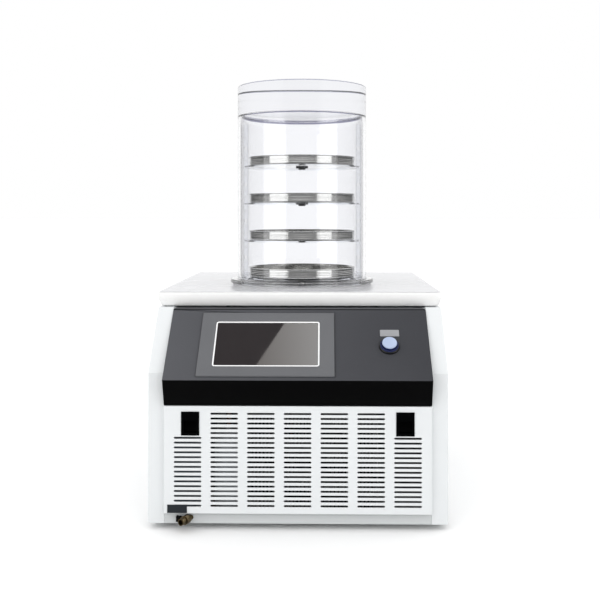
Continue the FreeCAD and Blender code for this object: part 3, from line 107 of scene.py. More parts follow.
class Wire:
    """A socket's value; sums on it add Math nodes."""

    def __init__(self, finish, socket):
        self.finish = finish
        self.socket = socket

    def maths(self, operation, *values, clamp=False):
        return self.finish.node("ShaderNodeMath", {"operation": operation, "use_clamp": clamp},
                                dict(enumerate(values)))

    def __add__(self, other):
        return self.maths("ADD", self, other)

    def __radd__(self, other):
        return self.maths("ADD", other, self)

    def __sub__(self, other):
        return self.maths("SUBTRACT", self, other)

    def __rsub__(self, other):
        return self.maths("SUBTRACT", other, self)

    def __mul__(self, other):
        return self.maths("MULTIPLY", self, other)

    def __rmul__(self, other):
        return self.maths("MULTIPLY", other, self)

    def __truediv__(self, other):
        return self.maths("DIVIDE", self, other)

    def __pow__(self, other):
        return self.maths("POWER", self, other)

    def __gt__(self, other):
        return self.maths("GREATER_THAN", self, other)

    def __lt__(self, other):
        return self.maths("LESS_THAN", self, other)

    def __abs__(self):
        return self.maths("ABSOLUTE", self)

    def clamped(self):
        return self.maths("ADD", self, 0.0, clamp=True)


class Finish:
    """One material and its Principled shader."""

    def __init__(self, name, **constants):
        self.material = bpy.data.materials.new(name)
        self.material.use_nodes = True
        self.tree = self.material.node_tree
        self.shader = self.tree.nodes["Principled BSDF"]
        self.place = self.node("ShaderNodeTexCoord", {}, {}, "Object")
        for key, value in constants.items():
            self.shader.inputs[key.replace("_", " ")].default_value = value

    def node(self, kind, settings, values, output=0):
        """Adds a node, sets it up, fills its sockets and returns one output."""
        made = self.tree.nodes.new(kind)
        for key, value in settings.items():
            setattr(made, key, value)
        for key, value in values.items():
            if isinstance(value, Wire):
                self.tree.links.new(value.socket, made.inputs[key])
            else:
                made.inputs[key].default_value = value
        return Wire(self, made.outputs[output])

    def axes(self):
        """X, Y and Z of the place, in metres."""
        split = self.node("ShaderNodeSeparateXYZ", {}, {0: self.place})
        return [Wire(self, out) for out in split.socket.node.outputs]

    def noise(self, scale, detail=2.0, roughness=0.5, stretch=(1, 1, 1)):
        """Cloudy pattern; scale is in lumps per metre."""
        place = self.node("ShaderNodeMapping", {"vector_type": "POINT"},
                          {"Vector": self.place, "Scale": stretch})
        return self.node("ShaderNodeTexNoise", {},
                         {"Vector": place, "Scale": scale, "Detail": detail, "Roughness": roughness}, "Fac")

    def blend(self, share, low, high):
        """A colour between two, by a share from 0 to 1."""
        made = self.node("ShaderNodeMix", {"data_type": "RGBA"}, {0: share}, 2)
        node = made.socket.node
        for at, colour in ((6, low), (7, high)):
            if isinstance(colour, Wire):
                self.tree.links.new(colour.socket, node.inputs[at])
            else:
                node.inputs[at].default_value = (*colour, 1)
        return made

    def spread(self, share, low, high):
        """A number between two, by a share from 0 to 1."""
        return share * (high - low) + low

    def feed(self, **wires):
        """Links wires to the shader's sockets."""
        for key, wire in wires.items():
            self.tree.links.new(wire.socket, self.shader.inputs[key.replace("_", " ")])
        return self

    def bump(self, height, depth, strength):
        """Relief: height from 0 to 1, depth in metres."""
        normal = self.node("ShaderNodeBump", {},
                           {"Height": height, "Distance": depth, "Strength": strength})
        return self.feed(Normal=normal)


# ---- finishes: colours are linear, lengths in metres ----

PEEL = 0.00004                   # depth of the orange peel in powder coat
DOOR_RIM = 0.004                 # folded rim of the door, painted as the outside is
BEZEL_GAP_SHADE = 0.0008             # width of the painted shade round the bezel, for the gap at its edge

# how deep below a face its own colour still reaches
DECK_SKIN = 0.0007
DOOR_SKIN = 0.00025
CONSOLE_SKIN = 0.0006

SHEET_HALF = 0.00195             # just under half the thickness of the rack's acrylic

# satin ring in the corner under the bell's crown, its colour darkened as painted shade: how far its middle
# lies below the crown's foot and in from the wall, and half its height and width
RING_DOWN, RING_IN = 0.0017, 0.0007
RING_HEIGHT, RING_WIDTH = 0.0019, 0.0010

# painted bands under the console's top edge, the painted shade of a groove, a painted highlight on the
# rounded edge and a painted shadow under the deck's lip: how far down the slope each ends, and its colour
EDGE_SHADE_BANDS = ((0.0066, (0.016, 0.0165, 0.019)),
        (0.0036, (0.125, 0.127, 0.135)),
        (0.0020, (0.002, 0.002, 0.0025)))


def powder_coat(name, coat, low, high, colour):
    """Powder coat on sheet steel, clouded and faintly peeled. Its roughness
    runs from low to high; colour(paint, cloud) gives its colour."""
    paint = Finish(name, Coat_Weight=coat, Coat_Roughness=0.12, IOR=1.48)
    cloud = paint.noise(7, 3)
    fine = paint.noise(900, 2)
    paint.feed(Base_Color=colour(paint, cloud),
               Roughness=paint.spread(cloud * 0.6 + fine * 0.4, low, high))
    return paint.bump(fine, PEEL, 0.5).material


def sheet_enamel(name, colour, roughness, coat):
    """The cabinet's own coat."""
    shaded = [c * 0.975 for c in colour]
    return powder_coat(name, coat, roughness - 0.05, roughness + 0.06,
                       lambda paint, cloud: paint.blend(cloud, shaded, colour))


def door_colour(paint, cloud):
    """White outside; inside the slots and at the back of the sheet painted nearly black as painted shade."""
    x, y, z = paint.axes()
    # painted shade: the slot walls and the back of the sheet are coloured near black
    inside = (y > door_low.y + DOOR_SKIN) * (abs(x) < door_high.x - DOOR_RIM)
    inside = inside * (z > door_low.z + DOOR_RIM) * (z < door_high.z - DOOR_RIM)
    outside = paint.blend(cloud, (0.726, 0.746, 0.756), (0.745, 0.765, 0.775))
    return paint.blend(inside, outside, (0.006, 0.006, 0.006))


def deck_colour(paint, cloud):
    """A darker, cooler top and a whiter lip: the top's darkness is painted shade, set against the overhead
    light that falls on it.
    """
    z = paint.axes()[2]
    lip = paint.blend(cloud, (0.86, 0.86, 0.855), (0.88, 0.88, 0.875))
    shaded_top = paint.blend(cloud, (0.635, 0.64, 0.665), (0.66, 0.665, 0.69))
    # painted shade: the top face is coloured darker than the lip
    return paint.blend(z > deck_high.z - DECK_SKIN, lip, shaded_top)


def moulded(name, colour, roughness, grain=1400, depth=0.00005, level=0.5):
    """Moulded plastic with a fine spark-eroded grain."""
    plastic = Finish(name, Specular_IOR_Level=level)
    fine = plastic.noise(grain, 3, 0.6)
    cloud = plastic.noise(16, 2)
    lit = [min(1, c * 1.18 + 0.0004) for c in colour]
    plastic.feed(Base_Color=plastic.blend(cloud, colour, lit),
                 Roughness=plastic.spread(fine * 0.5 + cloud * 0.5, roughness - 0.07, roughness + 0.07))
    return plastic.bump(fine, depth, 0.6).material


def metal(name, colour, roughness):
    """Metal with fine working marks."""
    stuff = Finish(name, Metallic=1.0)
    marks = stuff.noise(1500, 3, 0.6)
    cloud = stuff.noise(20, 3)
    dull = [c * 0.88 for c in colour]
    stuff.feed(Base_Color=stuff.blend(cloud * 0.5 + marks * 0.5, dull, colour),
               Roughness=stuff.spread(marks * 0.7 + cloud * 0.3, roughness * 0.75, roughness * 1.3))
    return stuff.bump(marks, 0.00002, 0.5).material


def acrylic_sheet():
    """Clear strip and rings; the sawn edges between their faces are satin and coloured dark as painted
    shade.
    """
    plastic = Finish("acrylic_sheet", Transmission_Weight=1.0, IOR=1.49)
    y = plastic.axes()[1]
    saw = plastic.noise(900, 2, 0.6, (0.2, 0.2, 1))
    edge = abs(y - AXIS_Y) < SHEET_HALF
    # painted shade: the sawn edges are coloured dark, besides their real satin roughness and grain
    sawn_and_shaded = plastic.blend(saw, (0.06, 0.065, 0.09), (0.26, 0.27, 0.31))
    plastic.feed(Base_Color=plastic.blend(edge, (0.96, 0.97, 0.99), sawn_and_shaded),
                 Roughness=plastic.spread(edge * (saw * 0.3 + 0.7), 0.01, 0.35))
    return plastic.bump(saw * edge, 0.00002, 0.4).material


def acrylic_bell():
    """Clear cast bell: polished, with a satin turned corner under its crown; that corner and the crown's top
    edge are coloured dark as painted shade.
    """
    plastic = Finish("acrylic_bell", Transmission_Weight=1.0, IOR=1.49)
    x, y, z = plastic.axes()
    haze = plastic.noise(40, 2)
    across = y - AXIS_Y
    radius = (x * x + across * across) ** 0.5
    # painted shade: the satin corner ring and the crown's top edge are coloured dark, for the dark lines
    # refraction shows there
    corner = abs(z - (crown_foot - RING_DOWN)) < RING_HEIGHT
    corner = corner * (abs(radius - (BELL_IN - RING_IN)) < RING_WIDTH)
    top_edge_shade = (z > bell_high.z - CROWN_ROUND) * (radius > BELL_OUT - CROWN_ROUND)
    tint = plastic.blend(z > crown_foot, (0.980, 0.984, 1.0), (0.960, 0.968, 1.0))
    tint = plastic.blend(top_edge_shade, tint, (0.20, 0.21, 0.30))
    plastic.feed(Base_Color=plastic.blend(corner, tint, (0.10, 0.10, 0.18)),
                 Roughness=plastic.spread(corner, haze * 0.008, 0.16))
    return plastic.material


def console_finish():
    """Console enamel: a greyer satin on the sloping face, near black below. The face carries a painted
    sheen, lighter at the left, and under its top edge painted bands: the painted shade of a groove, a
    painted highlight and a painted shadow under the deck's lip.
    """
    paint = Finish("console_enamel", Specular_IOR_Level=0.14)
    x, y, z = paint.axes()
    fine = paint.noise(1100, 3, 0.6)
    cloud = paint.noise(9, 2)
    face = z - y * SLOPE[1] > SLOPE[0] - CONSOLE_SKIN
    black = paint.blend(fine, (0.0006, 0.0006, 0.0008), (0.0012, 0.0012, 0.0015))
    # painted sheen: the face is coloured lighter at the left and darker at the right
    across = (x - console_low.x) / (console_high.x - console_low.x)
    grey = paint.blend((across * 0.8 + cloud * 0.2).clamped(), (0.089, 0.091, 0.100),
                       (0.040, 0.041, 0.047))
    # painted shadow, painted highlight and painted groove shade, in bands down the slope from the top edge
    down = (BROW[1] - z) * (1 / LEAN)
    for end, tone in EDGE_SHADE_BANDS:
        grey = paint.blend(down < end, grey, tone)
    paint.feed(Base_Color=paint.blend(face, black, grey),
               Roughness=paint.spread(fine * 0.5 + cloud * 0.5, 0.42, 0.56))
    return paint.bump(fine, 0.00003, 0.5).material


def bezel_finish():
    """Bezel satin, with painted shade round its edge for the gap between it and the console."""
    plastic = Finish("bezel_satin")
    x, _, z = plastic.axes()
    centre = (bezel_low + bezel_high) / 2
    reach = (bezel_high - bezel_low) / 2
    # painted shade: a narrow band round the bezel's edge is coloured dark
    sides = abs(x - centre.x) > reach.x - BEZEL_GAP_SHADE
    ends = abs(z - centre.z) > reach.z - BEZEL_GAP_SHADE * LEAN
    fine = plastic.noise(1200, 3, 0.6)
    cloud = plastic.noise(16, 2)
    face = plastic.blend(cloud, (0.108, 0.111, 0.119), (0.124, 0.127, 0.136))
    plastic.feed(Base_Color=plastic.blend((sides + ends).clamped(), face, (0.022, 0.023, 0.026)),
                 Roughness=plastic.spread(fine * 0.5 + cloud * 0.5, 0.36, 0.49))
    return plastic.bump(fine, 0.00003, 0.6).material


def screen_finish():
    """Dark touch glass: smooth, with the faintest smear."""
    glass = Finish("screen_dark")
    smear = glass.noise(25, 3, 0.6, (1, 0.4, 0.4))
    glass.feed(Base_Color=glass.blend(smear, (0.020, 0.0165, 0.0175), (0.025, 0.021, 0.022)),
               Roughness=glass.spread(smear, 0.015, 0.045))
    return glass.material


def tray_finish():
    """Spun stainless: fine rings round the wall, soft shine."""
    steel = Finish("tray_spun", Metallic=1.0)
    rings = steel.noise(900, 2, 0.6, (0.02, 0.02, 1))
    cloud = steel.noise(30, 2)
    steel.feed(Base_Color=steel.blend(rings, (0.50, 0.50, 0.48), (0.78, 0.775, 0.75)),
               Roughness=steel.spread(rings * 0.6 + cloud * 0.4, 0.06, 0.13))
    return steel.bump(rings, 0.000006, 0.5).material


finishes = {
    "white_enamel": sheet_enamel("cabinet_enamel", (0.745, 0.765, 0.775), 0.42, 0.15),
    # the base pan's coat is the cabinet's white darkened, as painted shade under the door
    "pan_enamel_shaded": sheet_enamel("pan_enamel_shaded", (0.58, 0.60, 0.605), 0.46, 0.1),
    "deck_enamel": powder_coat("deck_gloss", 0.35, 0.22, 0.32, deck_colour),
    "door_enamel": powder_coat("door_satin", 0.15, 0.35, 0.46, door_colour),
    "zinc_steel": metal("zinc_plate", (0.62, 0.63, 0.65), 0.34),
    "black_rubber": moulded("rubber", (0.014, 0.014, 0.015), 0.72, 700, 0.0001, 0.3),
    "seal_grey": moulded("seal_silicone", (0.62, 0.62, 0.63), 0.5, 700, 0.00004, 0.4),
    "screw_steel": metal("screw_bright", (0.60, 0.60, 0.62), 0.28),
    "console_black": console_finish(),
    "bezel_grey": bezel_finish(),
    "trim_white": moulded("trim_gloss", (0.86, 0.86, 0.86), 0.30, 1200, 0.00001),
    "screen_glass": screen_finish(),
    "black_plastic": moulded("plastic_black", (0.016, 0.016, 0.018), 0.45),
    "button_ring_black": moulded("ring_black", (0.004, 0.004, 0.005), 0.34, 1200, 0.00002),
    "button_blue": moulded("cap_blue", (0.385, 0.455, 0.62), 0.30, 900, 0.00001),
    "button_skirt": moulded("cap_skirt", (0.006, 0.012, 0.075), 0.28, 900, 0.00001),
    "plate_grey": moulded("plate_satin", (0.285, 0.287, 0.30), 0.45),
    "pull_black": moulded("pull_plastic", (0.0003, 0.0004, 0.0006), 0.40, 1400, 0.00003, 0.05),
    "label_slate": moulded("label_satin", (0.018, 0.0225, 0.027), 0.45, 1200, 0.00003, 0.3),
    "valve_brass": metal("valve_cast", (0.20, 0.15, 0.08), 0.30),
    "pipe_copper": metal("copper_drawn", (0.30, 0.17, 0.12), 0.34),
    "stainless": metal("well_stainless", (0.60, 0.60, 0.60), 0.26),
    "tray_steel": tray_finish(),
    "hub_steel": metal("hub_dark", (0.07, 0.07, 0.075), 0.34),
    "foam_jacket": moulded("foam_skin", (0.035, 0.035, 0.037), 0.85, 500, 0.0003, 0.2),
    "clear_acrylic": acrylic_bell(),
    "rack_acrylic": acrylic_sheet(),
    "compressor_black": moulded("shell_black", (0.010, 0.010, 0.011), 0.36, 500, 0.00005),
    # near black: a black coat, darkened further as painted shade for the cabinet's dark inside
    "condenser_black": moulded("fin_black", (0.003, 0.003, 0.0035), 0.6, 900, 0.00003, 0.1),
    "dryer_enamel": moulded("dryer_paint", (0.42, 0.45, 0.48), 0.40),
    "box_grey": moulded("box_paint", (0.20, 0.23, 0.27), 0.50),
    "board_green": moulded("board_lacquer", (0.02, 0.10, 0.05), 0.36),
}

wearers = {
    "white_enamel": ["left_side_panel", "right_side_panel", "rear_panel", "upper_rail"],
    "pan_enamel_shaded": ["base_pan"],
    "deck_enamel": ["top_plate"],
    "door_enamel": ["door"],
    "zinc_steel": ["front_rail", "door_hinges", "condenser_end_plates", "fan_shroud", "fan_bracket"],
    "black_rubber": ["rubber_feet", "compressor_mounts"],
    "seal_grey": ["bell_gasket"],
    "screw_steel": ["rear_screws"],
    "console_black": ["console"],
    "bezel_grey": ["display_bezel"],
    "trim_white": ["display_trim"],
    "screen_glass": ["display_glass"],
    "black_plastic": ["display_module", "button_switch", "door_catches", "fan_rotor", "power_inlet"],
    "button_ring_black": ["button_ring"],
    "button_blue": ["button_cap"],
    "plate_grey": ["button_nameplate"],
    "pull_black": ["left_pull", "right_pull", "drain_valve_knob", "power_rocker"],
    "label_slate": ["door_label"],
    "valve_brass": ["drain_valve_body"],
    "pipe_copper": ["drain_pipe", "evaporator_coil", "refrigerant_lines"],
    "stainless": ["trap_well", "rack_foot", "vacuum_port", "vacuum_pipe"],
    "tray_steel": ["tray_1", "tray_2", "tray_3", "tray_4"],
    "hub_steel": ["tray_hubs"],
    "foam_jacket": ["trap_foam"],
    "clear_acrylic": ["drying_bell"],
    "rack_acrylic": ["rack_uprights", "shelf_1", "shelf_2", "shelf_3", "shelf_4"],
    "compressor_black": ["compressor", "fan_motor"],
    "condenser_black": ["condenser_fins", "condenser_tubes"],
    "dryer_enamel": ["filter_dryer"],
    "box_grey": ["control_box"],
    "board_green": ["control_board"],
}

for finish, members in wearers.items():
    for name in members:
        nodes[name].material_slots[0].material = finishes[finish]


# ---- modelling helpers ----

CLOSE = 1e-6                     # corners nearer than this are one


def start():
    """Nothing is selected before a new primitive is added."""
    if bpy.context.object and bpy.context.object.mode != "OBJECT":
        bpy.ops.object.mode_set(mode="OBJECT")
    bpy.ops.object.select_all(action="DESELECT")


def take(piece):
    """Makes a piece the only one that the next operators act on."""
    start()
    piece.select_set(True)
    bpy.context.view_layer.objects.active = piece


def edit(kind):
    """Edit mode, with all of the piece selected."""
    bpy.ops.object.mode_set(mode="EDIT")
    bpy.ops.mesh.select_mode(type=kind)
    bpy.ops.mesh.select_all(action="SELECT")


def pick_faces(test):
    """Selects just the faces that pass a test."""
    bpy.ops.mesh.select_mode(type="FACE")
    bpy.ops.mesh.select_all(action="DESELECT")
    shape = bmesh.from_edit_mesh(bpy.context.edit_object.data)
    for face in shape.faces:
        if test(face):
            face.select_set(True)
    shape.select_flush_mode()
    bmesh.update_edit_mesh(bpy.context.edit_object.data)


def place_in_mesh():
    """Moves the piece's place, turn and size into its mesh."""
    bpy.ops.object.transform_apply(location=True, rotation=True, scale=True)


def settle():
    """Places the piece in its mesh, closes its seams and turns its faces out."""
    if bpy.context.object.mode != "OBJECT":
        bpy.ops.object.mode_set(mode="OBJECT")
    place_in_mesh()
    edit("VERT")
    bpy.ops.mesh.remove_doubles(threshold=CLOSE)
    bpy.ops.mesh.normals_make_consistent(inside=False)
    bpy.ops.object.mode_set(mode="OBJECT")
    return bpy.context.object


def dress(piece, name, body, slot, node, angle=35):
    """Names a finished piece, smooths it, paints it, hangs it on its body and
    lets it stand for a node."""
    piece.name = name
    piece.data.name = name
    bpy.ops.object.shade_smooth_by_angle(angle=math.radians(angle))
    if not piece.data.materials:
        piece.data.materials.append(finishes[slot])
    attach(piece, body)
    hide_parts(node)


def held(outline, margin=0.0003):
    """Adds a point close to each end of a long run, so that its shading stays straight."""
    points = [outline[0]]
    for (r0, z0), (r1, z1) in zip(outline, outline[1:]):
        length = math.hypot(r1 - r0, z1 - z0)
        if length > 8 * margin:
            share = margin / length
            points += [(r0 + (r1 - r0) * t, z0 + (z1 - z0) * t) for t in (share, 1 - share)]
        points.append((r1, z1))
    return points


def turned(outline, steps, ring=False):
    """A turned piece about the Z axis. The outline is (radius, height) from
    end to end, capped where it stops, or right round the section of a ring."""
    start()
    bpy.ops.mesh.primitive_circle_add(vertices=steps, radius=outline[0][0], location=(0, 0, outline[0][1]))
    edit("EDGE")
    if not ring:
        bpy.ops.mesh.edge_face_add()
        bpy.ops.mesh.select_mode(type="EDGE")
    outline = held(outline + outline[:1] if ring else outline)
    for (r0, z0), (r1, z1) in zip(outline, outline[1:]):
        bpy.ops.mesh.extrude_edges_move(TRANSFORM_OT_translate={"value": (0, 0, z1 - z0)})
        bpy.ops.transform.resize(value=(r1 / r0, r1 / r0, 1), center_override=(0, 0, z1))
    if not ring:
        bpy.ops.mesh.edge_face_add()
    bpy.ops.object.mode_set(mode="OBJECT")
    place_in_mesh()
    return bpy.context.object


def arc(r, z, radius, start_angle, end_angle, count):
    """Points of a rounded corner about (r, z), angles in degrees from outwards."""
    angles = [math.radians(start_angle + (end_angle - start_angle) * i / count) for i in range(count + 1)]
    return [(r + radius * math.cos(angle), z + radius * math.sin(angle)) for angle in angles]


# ---- drying bell ----

PIP = 0.0005                     # radius of the flat at the middle of a turned end
FLANGE_HEIGHT = 0.007
FLANGE_ROUND = 0.002
FLANGE_FILLET = 0.0015           # between the flange and the wall
INNER_ROUND = 0.003              # in the corner under the crown

flange = bell_high.x - axis.x
step = bell_low.z + FLANGE_HEIGHT

outline = [(PIP, bell_high.z)]
outline += arc(BELL_OUT - CROWN_ROUND, bell_high.z - CROWN_ROUND, CROWN_ROUND, 90, 0, 8)
outline += [(BELL_OUT, step + FLANGE_FILLET)]
outline += arc(BELL_OUT + FLANGE_FILLET, step + FLANGE_FILLET, FLANGE_FILLET, 180, 270, 3)[1:]
outline += arc(flange - FLANGE_ROUND, step - FLANGE_ROUND, FLANGE_ROUND, 90, 0, 4)
outline += arc(flange - FLANGE_ROUND, bell_low.z + FLANGE_ROUND, FLANGE_ROUND, 0, -90, 4)
outline += [(BELL_IN, bell_low.z)]
outline += arc(BELL_IN - INNER_ROUND, crown_foot - INNER_ROUND, INNER_ROUND, 0, 90, 8)
outline += [(PIP, crown_foot)]
bell = turned(outline, 192)
bell.location = axis
dress(settle(), "clear_bell", "cabinet", "clear_acrylic", "drying_bell", 28)


# ---- trays ----

TRAY_SHEET = 0.001
TRAY_OVERHANG = 0.001            # from the wall out to the rim
TRAY_ROUND = 0.003               # outside the corner between floor and wall
TRAY_ROLL = 0.0009               # radius of the rolled rim
ROLL_FOOT, ROLL_FOOT_IN = 0.0022, 0.0028   # the roll's ends below the top, outside and inside
TRAY_HUB = 0.012                 # radius of the hole in the floor
FLOOR_LINE = 0.03                # radius of a line that keeps the floor's shading flat
BEAD = 0.0009                    # half the height of a bead
BEAD_DEPTH = 0.0002


def tray(shelf):
    """A spun dish: beaded wall, rolled rim and a dished floor."""
    low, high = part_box("tray_%d" % shelf)
    rim = (high.x - low.x) / 2
    wall = rim - TRAY_OVERHANG
    floor, top = low.z, high.z
    section = [(TRAY_HUB, floor)]
    section += arc(wall - TRAY_ROUND, floor + TRAY_ROUND, TRAY_ROUND, -90, 0, 5)
    for share in (0.34, 0.5, 0.66):
        z = floor + (top - floor) * share
        section += [(wall, z - BEAD), (wall - BEAD_DEPTH, z), (wall, z + BEAD)]
    section += [(wall, top - ROLL_FOOT)]
    section += arc(rim - TRAY_ROLL, top - TRAY_ROLL, TRAY_ROLL, -70, 120, 7)
    section += [(wall - TRAY_SHEET, top - ROLL_FOOT_IN)]
    section += arc(wall - TRAY_ROUND, floor + TRAY_ROUND, TRAY_ROUND - TRAY_SHEET, 0, -90, 5)
    section += [(FLOOR_LINE, floor + TRAY_SHEET), (TRAY_HUB, floor + TRAY_SHEET)]
    dish = turned(section, 128)
    dish.location = axis
    dress(settle(), "dish_%d" % shelf, "cabinet", "tray_steel", "tray_%d" % shelf)


for shelf in (1, 2, 3, 4):
    tray(shelf)


# ---- start button, turned upright and then tipped onto the console ----

SKIRT_TOP = 0.0084               # the cap is dark blue below this height
COLLAR_TOP = 0.0032              # the collar is dark blue above this height
COLLAR_FACE = 0.0146             # and within this radius

across = Vector((1, 0, 0))
along = Vector((0, BROW[0] - RIDGE[0], BROW[1] - RIDGE[1])).normalized()
outwards = Vector((0, -along.z, along.y))
brow_point = Vector((0, BROW[0], BROW[1]))


def middle_along(node, direction):
    """Middle of a node's reach along a direction."""
    reach = [vertex.co.dot(direction) for vertex in nodes[node].data.vertices]
    return (min(reach) + max(reach)) / 2


button_at = (across * middle_along("button_cap", across) + along * middle_along("button_cap", along)
             + outwards * brow_point.dot(outwards))


def on_console(piece):
    """Tips a turned piece onto the console's slope, at the button's place."""
    piece.rotation_euler = (math.atan2(along.z, along.y), 0, 0)
    piece.location = button_at
    return settle()


def two_tone(piece, slot, is_skirt):
    """Paints the faces that pass a test with the skirt's dark blue."""
    piece.data.materials.append(finishes[slot])
    piece.data.materials.append(finishes["button_skirt"])
    for face in piece.data.polygons:
        face.material_index = 1 if is_skirt(face.center) else 0


# the cap's outline: radius and height over the slope, from its middle to its stem
cap = [(PIP, 0.0092), (0.0040, 0.0093), (0.0078, 0.0097), (0.0092, 0.0100)]
cap += arc(0.0100, 0.0087, 0.0013, 80, 8, 5)
cap += [(0.0116, 0.0080), (0.0119, 0.0070), (0.0120, 0.0049), (0.009, 0.0048), (0.009, -0.007)]
piece = turned(cap, 72)
two_tone(piece, "button_blue", lambda at: at.z < SKIRT_TOP)
dress(on_console(piece), "start_button_cap", "button", "button_blue", "button_cap")

# the collar's section, right round
collar = [(0.0123, 0.0015), (0.0123, 0.0042), (0.0127, 0.0047), (0.0136, 0.0044), (0.0142, 0.0032),
          (0.0150, 0.0030), (0.0156, 0.0025), (0.0165, 0.0004), (0.0165, 0.0), (0.011, 0.0),
          (0.011, -0.014), (0.0093, -0.014), (0.0093, 0.0015)]
piece = turned(collar, 72, ring=True)
two_tone(piece, "button_ring_black", lambda at: at.z > COLLAR_TOP and math.hypot(at.x, at.y) < COLLAR_FACE)
dress(on_console(piece), "start_button_collar", "cabinet", "button_ring_black", "button_ring")


# ---- deck ----

# the lip's section in mm: height over its lowest line, and how far it lies in from its widest line
LIP = [(1.0, 7.2), (1.2, 6.2), (1.6, 5.4), (2.2, 4.7), (3.5, 3.85), (6.0, 2.8), (9.0, 1.6),
       (12.0, 0.75), (15.0, 0.22), (18.0, 0.0), (20.5, 0.12), (22.6, 0.55), (22.9, 0.7),
       (22.95, 1.9), (23.95, 1.9), (24.0, 0.95), (24.4, 1.3), (24.7, 1.9), (24.8, 2.6), (24.8, 3.2)]
LIP_CORNER = 0.0055
LIP_WIDTH = 0.0135
DECK_SHEET = 0.0015
TRAP_MOUTH = 0.0968              # radius of the hole over the trap

deck_middle = (deck_low + deck_high) / 2
deck_size = deck_high - deck_low
lip_foot, foot_inset = LIP[0]
foot_size = [reach - 2 * MM * foot_inset for reach in (deck_size.x, deck_size.y)]


def rise(height):
    """Extrudes the selected faces straight up."""
    bpy.ops.mesh.extrude_region_move(TRANSFORM_OT_translate={"value": (0, 0, height)})


def draw_in(share_x, share_y):
    """Resizes what is selected about the deck's middle."""
    bpy.ops.transform.resize(value=(share_x, share_y, 1), center_override=(deck_middle.x, deck_middle.y, 0))


start()
bpy.ops.mesh.primitive_plane_add(size=1, location=(deck_middle.x, deck_middle.y, deck_low.z + MM * lip_foot))
bpy.ops.transform.resize(value=(foot_size[0], foot_size[1], 1))
place_in_mesh()
deck = bpy.context.object
edit("VERT")
bpy.ops.mesh.bevel(offset=LIP_CORNER, segments=6, affect="VERTICES")
bpy.ops.mesh.select_mode(type="FACE")
for (z0, inset0), (z1, inset1) in zip(LIP, LIP[1:]):
    rise(MM * (z1 - z0))
    draw_in(*((reach - 2 * MM * inset1) / (reach - 2 * MM * inset0) for reach in (deck_size.x, deck_size.y)))

# the hollow underside, inside the lip
pick_faces(lambda face: face.normal.z < -0.99 and face.calc_area() > 0.01)
rise(0)
draw_in(*(1 - 2 * LIP_WIDTH / reach for reach in foot_size))
rise(deck_size.z - MM * lip_foot - DECK_SHEET)
settle()

start()
bpy.ops.mesh.primitive_cylinder_add(vertices=128, radius=TRAP_MOUTH, depth=0.02,
                                    location=(axis.x, axis.y, deck_high.z))
punch = bpy.context.object
take(deck)
cut = deck.modifiers.new("cut", "BOOLEAN")
cut.operation = "DIFFERENCE"
cut.object = punch
bpy.ops.object.modifier_apply(modifier="cut")
bpy.data.objects.remove(punch)
dress(settle(), "deck", "cabinet", "deck_enamel", "top_plate")


# ---- moulded and folded parts with their edges eased ----

FLAT_ANGLE = math.radians(0.4)   # faces that meet at less are one face
SHARP_ANGLE = math.radians(30)   # edges that turn more are eased


def eased(node, name, width, body, slot, segments=3):
    """A copy of a plain solid with its sharp edges rounded over."""
    piece = bpy.data.objects.new(name, nodes[node].data.copy())
    scene.collection.objects.link(piece)
    take(piece)
    edit("VERT")
    bpy.ops.mesh.remove_doubles(threshold=CLOSE)
    bpy.ops.mesh.dissolve_limited(angle_limit=FLAT_ANGLE)
    bpy.ops.object.mode_set(mode="OBJECT")
    ease = piece.modifiers.new("ease", "BEVEL")
    ease.width = width
    ease.segments = segments
    ease.limit_method = "ANGLE"
    ease.angle_limit = SHARP_ANGLE
    bpy.ops.object.modifier_apply(modifier="ease")
    piece.data.materials.clear()
    dress(piece, name, body, slot, node)


eased("console", "console_shell", 0.0014, "cabinet", "console_black", segments=4)
eased("display_bezel", "screen_bezel", 0.0004, "cabinet", "bezel_grey")
eased("left_pull", "pull_cup_left", 0.0006, "door", "pull_black")
eased("right_pull", "pull_cup_right", 0.0006, "door", "pull_black")


# ---- floor and light card ----

FLOOR_SIZE = 120
CARD_HEIGHT = 1.5
CARD_CORNERS = ((-0.181, -0.42), (0.060, -0.42), (-0.042, -0.213), (0.060, -0.213))
GLOW_START, GLOW_RUN = -0.16, 0.19          # the card grows brighter over this stretch of X

start()
bpy.ops.mesh.primitive_plane_add(size=FLOOR_SIZE, location=(0, 0, 0))
floor = bpy.context.object
floor.name = "studio_floor"
ground = Finish("studio_white", Specular_IOR_Level=0.0)
tone = ground.noise(3, 2)
ground.feed(Base_Color=ground.blend(tone, (0.975, 0.975, 0.975), (0.99, 0.99, 0.99)),
            Roughness=ground.spread(tone, 0.85, 0.95))
floor.data.materials.append(ground.material)
floor.visible_glossy = False
floor.visible_transmission = False

# the card hangs over the console and is seen only as a slanting shine in the screen
start()
bpy.ops.mesh.primitive_plane_add(size=1, location=(0, 0, 0))
card = bpy.context.object
card.name = "light_card"
for corner, vertex in zip(CARD_CORNERS, card.data.vertices):
    vertex.co = (*corner, CARD_HEIGHT)
shine = Finish("card_glow", Base_Color=(0, 0, 0, 1), Specular_IOR_Level=0.0, Emission_Strength=7.0)
glow = ((shine.axes()[0] - GLOW_START) / GLOW_RUN).clamped()
shine.feed(Emission_Color=shine.blend(glow, (0.42, 0.40, 0.38), (0.82, 0.815, 0.80)),
           Roughness=shine.spread(shine.noise(5), 0.8, 0.9))
card.data.materials.append(shine.material)
for ray in ("camera", "diffuse", "transmission", "shadow", "volume_scatter"):
    setattr(card, "visible_" + ray, False)


# ---- studio ----

world = bpy.data.worlds.new("studio")
scene.world = world
world.use_nodes = True
tree = world.node_tree
tree.nodes.clear()


